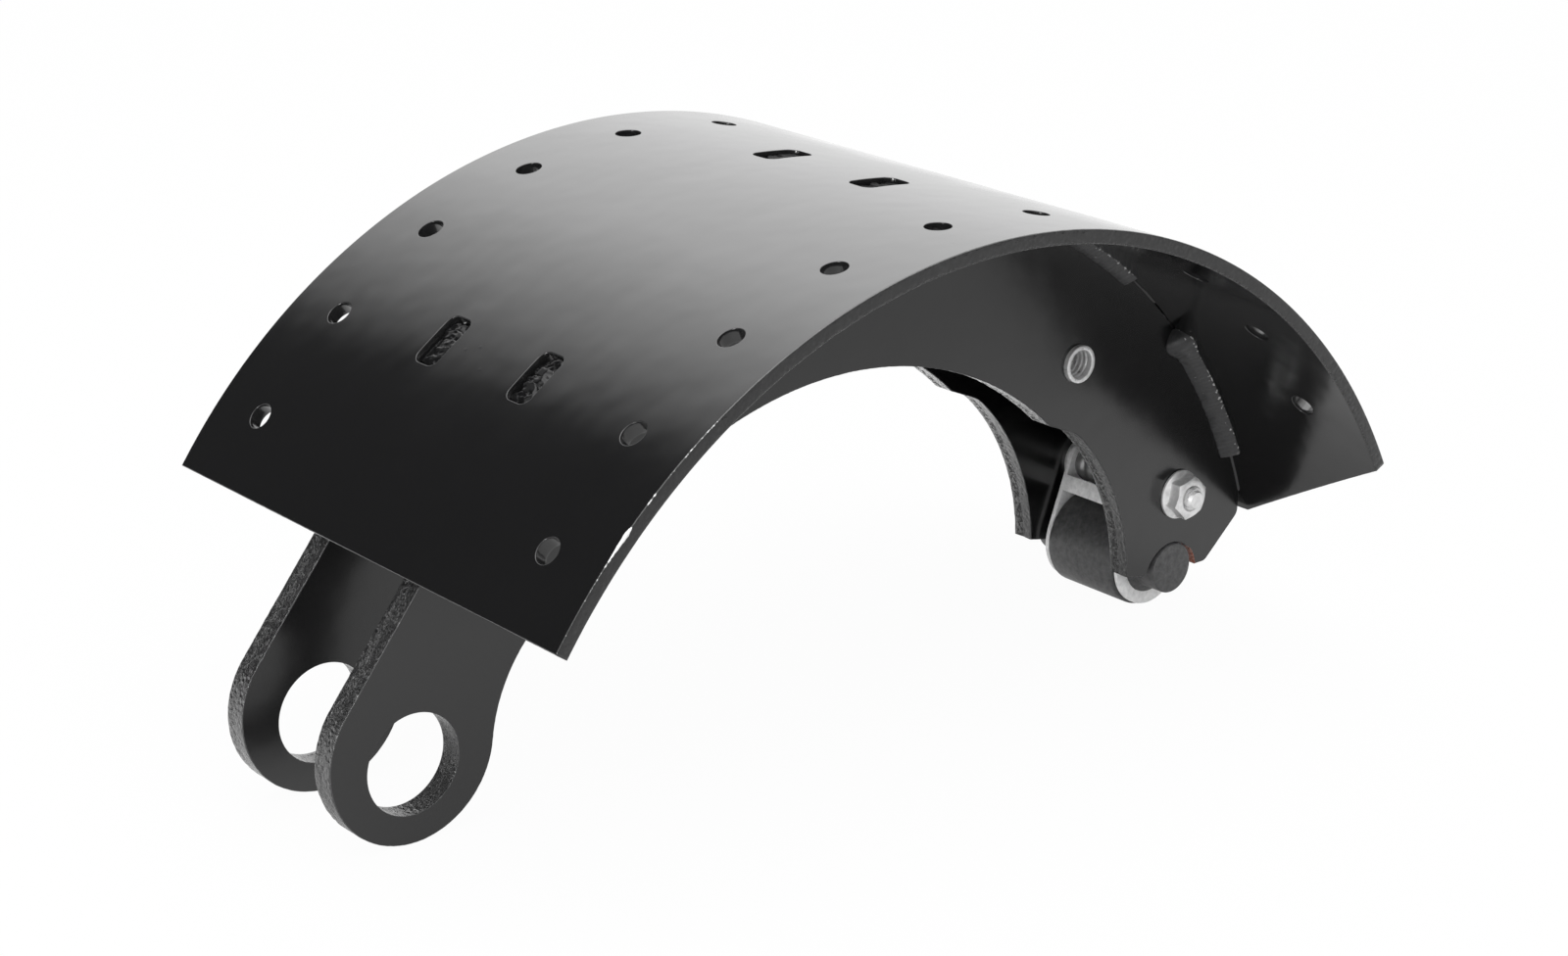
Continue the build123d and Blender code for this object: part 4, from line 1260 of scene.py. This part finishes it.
thread_tree = node_tree("thread", [
    ("Axis", "NodeSocketVector"), ("Start", "NodeSocketFloat"), ("Turns", "NodeSocketFloat"),
    ("Material", "NodeSocketMaterial"),
])
add_nodes(
    thread_tree,
    math("length", "MULTIPLY", "in:Turns", THREAD_PITCH),
    ("helix", "GeometryNodeCurveSpiral", {}, {
        "Resolution": 48, "Rotations": "in:Turns", "Start Radius": BOLT_RADIUS - THREAD_DEPTH,
        "End Radius": BOLT_RADIUS - THREAD_DEPTH, "Height": "length:0"}),
    ("section", "GeometryNodeCurvePrimitiveCircle", {}, {"Resolution": 3, "Radius": THREAD_DEPTH}),
    ("ridge", "GeometryNodeCurveToMesh", {}, {
        "Curve": "helix:0", "Profile Curve": "section:0", "Fill Caps": True}),
    ("laid", "GeometryNodeTransform", {}, {"Geometry": "ridge:0", "Rotation": (-pi / 2, 0, 0)}),
    ("middle", "ShaderNodeCombineXYZ", {}, {"Y": "in:Start"}),
    vector("place", "ADD", "in:Axis", "middle:0"),
    ("moved", "GeometryNodeSetPosition", {}, {"Geometry": "laid:0", "Offset": "place:0"}),
    ("whole", "GeometryNodeRealizeInstances", {}, {"Geometry": "moved:0"}),
    ("finish", "GeometryNodeSetMaterial", {}, {"Geometry": "whole:0", "Material": "in:Material"}),
    ("out", None, {}, {0: "finish:0"}),
)


def joined(name, meshes, material):
    """One object from several closed meshes."""
    whole = bmesh.new()
    for mesh in meshes:
        whole.from_mesh(mesh)
    mesh = bpy.data.meshes.new(name)
    whole.to_mesh(mesh)
    whole.free()
    mesh.materials.append(material)
    mesh.shade_smooth()
    mesh.set_sharp_from_angle(angle=HEX_SHARP_ANGLE)
    return add_object(name, mesh)


nut_low, nut_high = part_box("bracket_nut")
bolt_low, bolt_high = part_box("bracket_bolt")
bolt_axis = middle_of("bracket_spacer")
nut_mesh = flanged_hex(
    "nut", bolt_axis, nut_high.y, -1, nut_high.y - nut_low.y, BOLT_RADIUS - 0.5 * THREAD_DEPTH,
    HEX_CROWN_RADIUS)
nut = joined("bracket_nut_flanged", [nut_mesh], ZINC)
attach(nut, "shoe")
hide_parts("bracket_nut")

far_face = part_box("web_far")[1].y
head_mesh = flanged_hex(
    "head", bolt_axis, far_face, 1, bolt_high.y - far_face, 0, HEX_CROWN_RADIUS)
root_radius = BOLT_RADIUS - THREAD_DEPTH
# Places along the bolt, from the middle of its axis: its start in the head, the thread and its point
head_end = far_face - bolt_axis.y + SHANK_IN_HEAD
thread_start = nut_high.y - bolt_axis.y
thread_end = bolt_low.y - bolt_axis.y
point_end = thread_end - BOLT_POINT_LENGTH
shank = lathe(
    "shank",
    rounded([
        (head_end, 0, 0),
        (head_end, BOLT_RADIUS, 0),
        (thread_start, BOLT_RADIUS, 0),
        (thread_start, root_radius, 0),
        (thread_end, root_radius, 0),
        (point_end, BOLT_POINT_RADIUS, BOLT_POINT_ROUNDING),
        (point_end, 0, 0),
    ]),
    bolt_axis, ZINC,
)
thread = grow("thread_ridge", thread_tree, {
    "Axis": (bolt_axis.x, 0.0, bolt_axis.z),
    "Start": bolt_low.y + THREAD_RUN_OUT,
    "Turns": (nut_high.y - bolt_low.y - 2 * THREAD_RUN_OUT) / THREAD_PITCH,
    "Material": ZINC,
})
bolt = joined("bracket_bolt_flanged", [head_mesh, shank.data, thread.data], ZINC)
bpy.data.objects.remove(shank)
bpy.data.objects.remove(thread)
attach(bolt, "shoe")
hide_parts("bracket_bolt")

# --- Floor, lamps and camera ---
# A white sheet under the shoe that glows in reflections as painted light, a bright wall of light behind
# it, a dimmer one in front and overhead, a soft lamp above and a small lamp at the side of the eyes.

CAMERA_AZIMUTH = radians(40.2)
CAMERA_ELEVATION = radians(20.023)
CAMERA_PLACE = Vector((-587.046 * MM, -693.035 * MM, 425.6 * MM))
FOCAL_PIXELS = 3234.59
FRAME_WIDTH = 1600


def from_drum(point):
    """A point of the part from one given about the drum's axis, before the shoe is set on the floor."""
    x = point.x * cos(SEAT_TURN) - point.z * sin(SEAT_TURN)
    z = point.z * cos(SEAT_TURN) + point.x * sin(SEAT_TURN)
    return Vector((x, point.y, z))


forward = from_drum(Vector((
    sin(CAMERA_AZIMUTH) * cos(CAMERA_ELEVATION),
    cos(CAMERA_AZIMUTH) * cos(CAMERA_ELEVATION),
    -sin(CAMERA_ELEVATION),
)))
right = from_drum(Vector((cos(CAMERA_AZIMUTH), -sin(CAMERA_AZIMUTH), 0)))
camera_data = bpy.data.cameras.new("camera")
camera_data.sensor_width = 36
camera_data.lens = FOCAL_PIXELS / FRAME_WIDTH * camera_data.sensor_width
camera_data.clip_start = 0.01
camera = add_object("camera", camera_data)
camera.matrix_world = Matrix((right, right.cross(forward), -forward)).transposed().to_4x4()
camera.location = from_drum(CAMERA_PLACE) + DRUM_AXIS
scene.camera = camera

FLOOR_HEIGHT = cad_box[0][2]
FLOOR_SIZE = 8.0
FLOOR_GLOW = 0.965
FLOOR_MIRRORED_GLOW = 0.5
# In the paint and the steel the sheet glows as painted light, darker in front of the shoe and brighter
# behind it. Each share of the glow is given with its place along Y.
FLOOR_SHARES = ((-0.31, 0.6), (-0.14, 1.0), (-0.02, 1.0), (0.08, 2.6), (0.25, 2.6), (0.5, 1.6))
FLOOR_TOP_SHARE = 3.0
FLOOR_COLOUR = (0.42, 0.42, 0.42, 1)

floor_mesh = bpy.data.meshes.new("floor")
half = FLOOR_SIZE / 2
floor_corners = [(-half, -half), (half, -half), (half, half), (-half, half)]
floor_mesh.from_pydata([(x, y, FLOOR_HEIGHT) for x, y in floor_corners], [], [(0, 1, 2, 3)])
floor = add_object("floor", floor_mesh)
white = bpy.data.materials.new("white_floor")
white.use_nodes = True
add_nodes(
    white.node_tree,
    ("path", "ShaderNodeLightPath", {}, {}),
    math("mirrored", "MULTIPLY", "path:Is Glossy Ray", FLOOR_MIRRORED_GLOW),
    math("share", "MULTIPLY_ADD", "path:Is Camera Ray", FLOOR_GLOW, "mirrored:0"),
    ("place", "ShaderNodeTexCoord", {}, {}),
    ("parts", "ShaderNodeSeparateXYZ", {}, {0: "place:Object"}),
    spread("across", "parts:Y", -0.5, 0.5),
    ("shares", "ShaderNodeValToRGB", {}, {0: "across:0"}),
    math("reflected", "MULTIPLY", "shares:0", FLOOR_TOP_SHARE),
    ("strength", "ShaderNodeMix", {}, {"Factor": "path:Is Camera Ray", "A": "reflected:0", "B": 1.0}),
    ("matt", "ShaderNodeBsdfDiffuse", {}, {"Color": FLOOR_COLOUR}),
    ("glow", "ShaderNodeEmission", {}, {"Color": (1, 1, 1, 1), "Strength": "strength:0"}),
    ("floor", "ShaderNodeMixShader", {}, {0: "share:0", 1: "matt:0", 2: "glow:0"}),
    ("Material Output", None, {}, {"Surface": "floor:0"}),
)
ramp(
    white.node_tree.nodes["shares"],
    *((along + 0.5, share / FLOOR_TOP_SHARE) for along, share in FLOOR_SHARES))
floor_mesh.materials.append(white)

# How much of the lit wall behind the shoe, and of the light in front of it, is seen towards each
# heading, in degrees from +Y towards +X
WALL_SHARE = (
    (-180, 0.0), (-14, 0.0), (-10, 0.16), (-6, 0.32), (2, 0.57), (9, 0.72), (16, 0.88), (24, 1.0),
    (75, 1.0), (120, 0.0),
)
FRONT_SHARE = ((-180, 1.0), (-80, 1.0), (-54, 0.0), (80, 0.0), (120, 1.0))
WALL_LOW = 1.2
WALL_RISE = 2.35
WALL_TOP = 2.6
FRONT_RISE = 3.2
FRONT_TOP = 2.8
OVERHEAD_FROM = 48
OVERHEAD_TO = 66
ROOM_LIGHT = 0.08


def clamped(name, value, rise, low, top):
    """Rows for add_nodes: low plus a rise with a value, held between nothing and a top."""
    return (
        math(f"{name}_raw", "MULTIPLY_ADD", value, rise, low),
        math(f"{name}_under", "MINIMUM", f"{name}_raw:0", top),
        math(name, "MAXIMUM", f"{name}_under:0", 0.0),
    )


world = bpy.data.worlds.new("studio")
scene.world = world
world.use_nodes = True
add_nodes(
    world.node_tree,
    ("place", "ShaderNodeTexCoord", {}, {}),
    ("path", "ShaderNodeLightPath", {}, {}),
    ("parts", "ShaderNodeSeparateXYZ", {}, {0: "place:Generated"}),
    math("heading", "ARCTAN2", "parts:X", "parts:Y"),
    spread("turn", "heading:0", -pi, pi),
    ("wall", "ShaderNodeValToRGB", {}, {0: "turn:0"}),
    ("front", "ShaderNodeValToRGB", {}, {0: "turn:0"}),
    math("rise", "ARCSINE", "parts:Z"),
    # The wall and the light in front are both brighter higher up, and the light goes on overhead.
    *clamped("wall_height", "rise:0", WALL_RISE, WALL_LOW, WALL_TOP),
    *clamped("front_height", "rise:0", FRONT_RISE, 0.0, FRONT_TOP),
    spread(
        "overhead", "rise:0", radians(OVERHEAD_FROM), radians(OVERHEAD_TO),
        interpolation_type="SMOOTHSTEP"),
    math("front_wide", "MAXIMUM", "front:0", "overhead:0"),
    math("wall_light", "MULTIPLY", "wall_height:0", "wall:0"),
    math("front_light", "MULTIPLY", "front_height:0", "front_wide:0"),
    math("both", "MAXIMUM", "wall_light:0", "front_light:0"),
    math("room", "ADD", "both:0", ROOM_LIGHT),
    ("strength", "ShaderNodeMix", {}, {"Factor": "path:Is Camera Ray", "A": "room:0", "B": 1.0}),
    ("Background", None, {}, {"Color": (1, 1, 1, 1), "Strength": "strength:0"}),
)
for name, shares in (("wall", WALL_SHARE), ("front", FRONT_SHARE)):
    ramp(world.node_tree.nodes[name], *((heading / 360 + 0.5, share) for heading, share in shares))

LAMP_SIZE = 1.1
LAMP_POWER = 6
LAMP_PLACE = Vector((0.15, -0.1, 1.3))
SIDE_LAMP_SIZE = 0.35
SIDE_LAMP_POWER = 8
SIDE_LAMP_PLACE = Vector((-1.0, -0.25, 0.22))


def soft_lamp(name, size, power, place):
    """A square lamp that shines straight down from its place."""
    light = bpy.data.lights.new(name, "AREA")
    light.shape = "SQUARE"
    light.size = size
    light.energy = power
    lamp = add_object(name, light)
    lamp.location = place
    return lamp


soft_lamp("soft_lamp", LAMP_SIZE, LAMP_POWER, LAMP_PLACE)
side_lamp = soft_lamp("side_lamp", SIDE_LAMP_SIZE, SIDE_LAMP_POWER, SIDE_LAMP_PLACE)
side_lamp.rotation_euler = SIDE_LAMP_PLACE.to_track_quat("Z", "Y").to_euler()
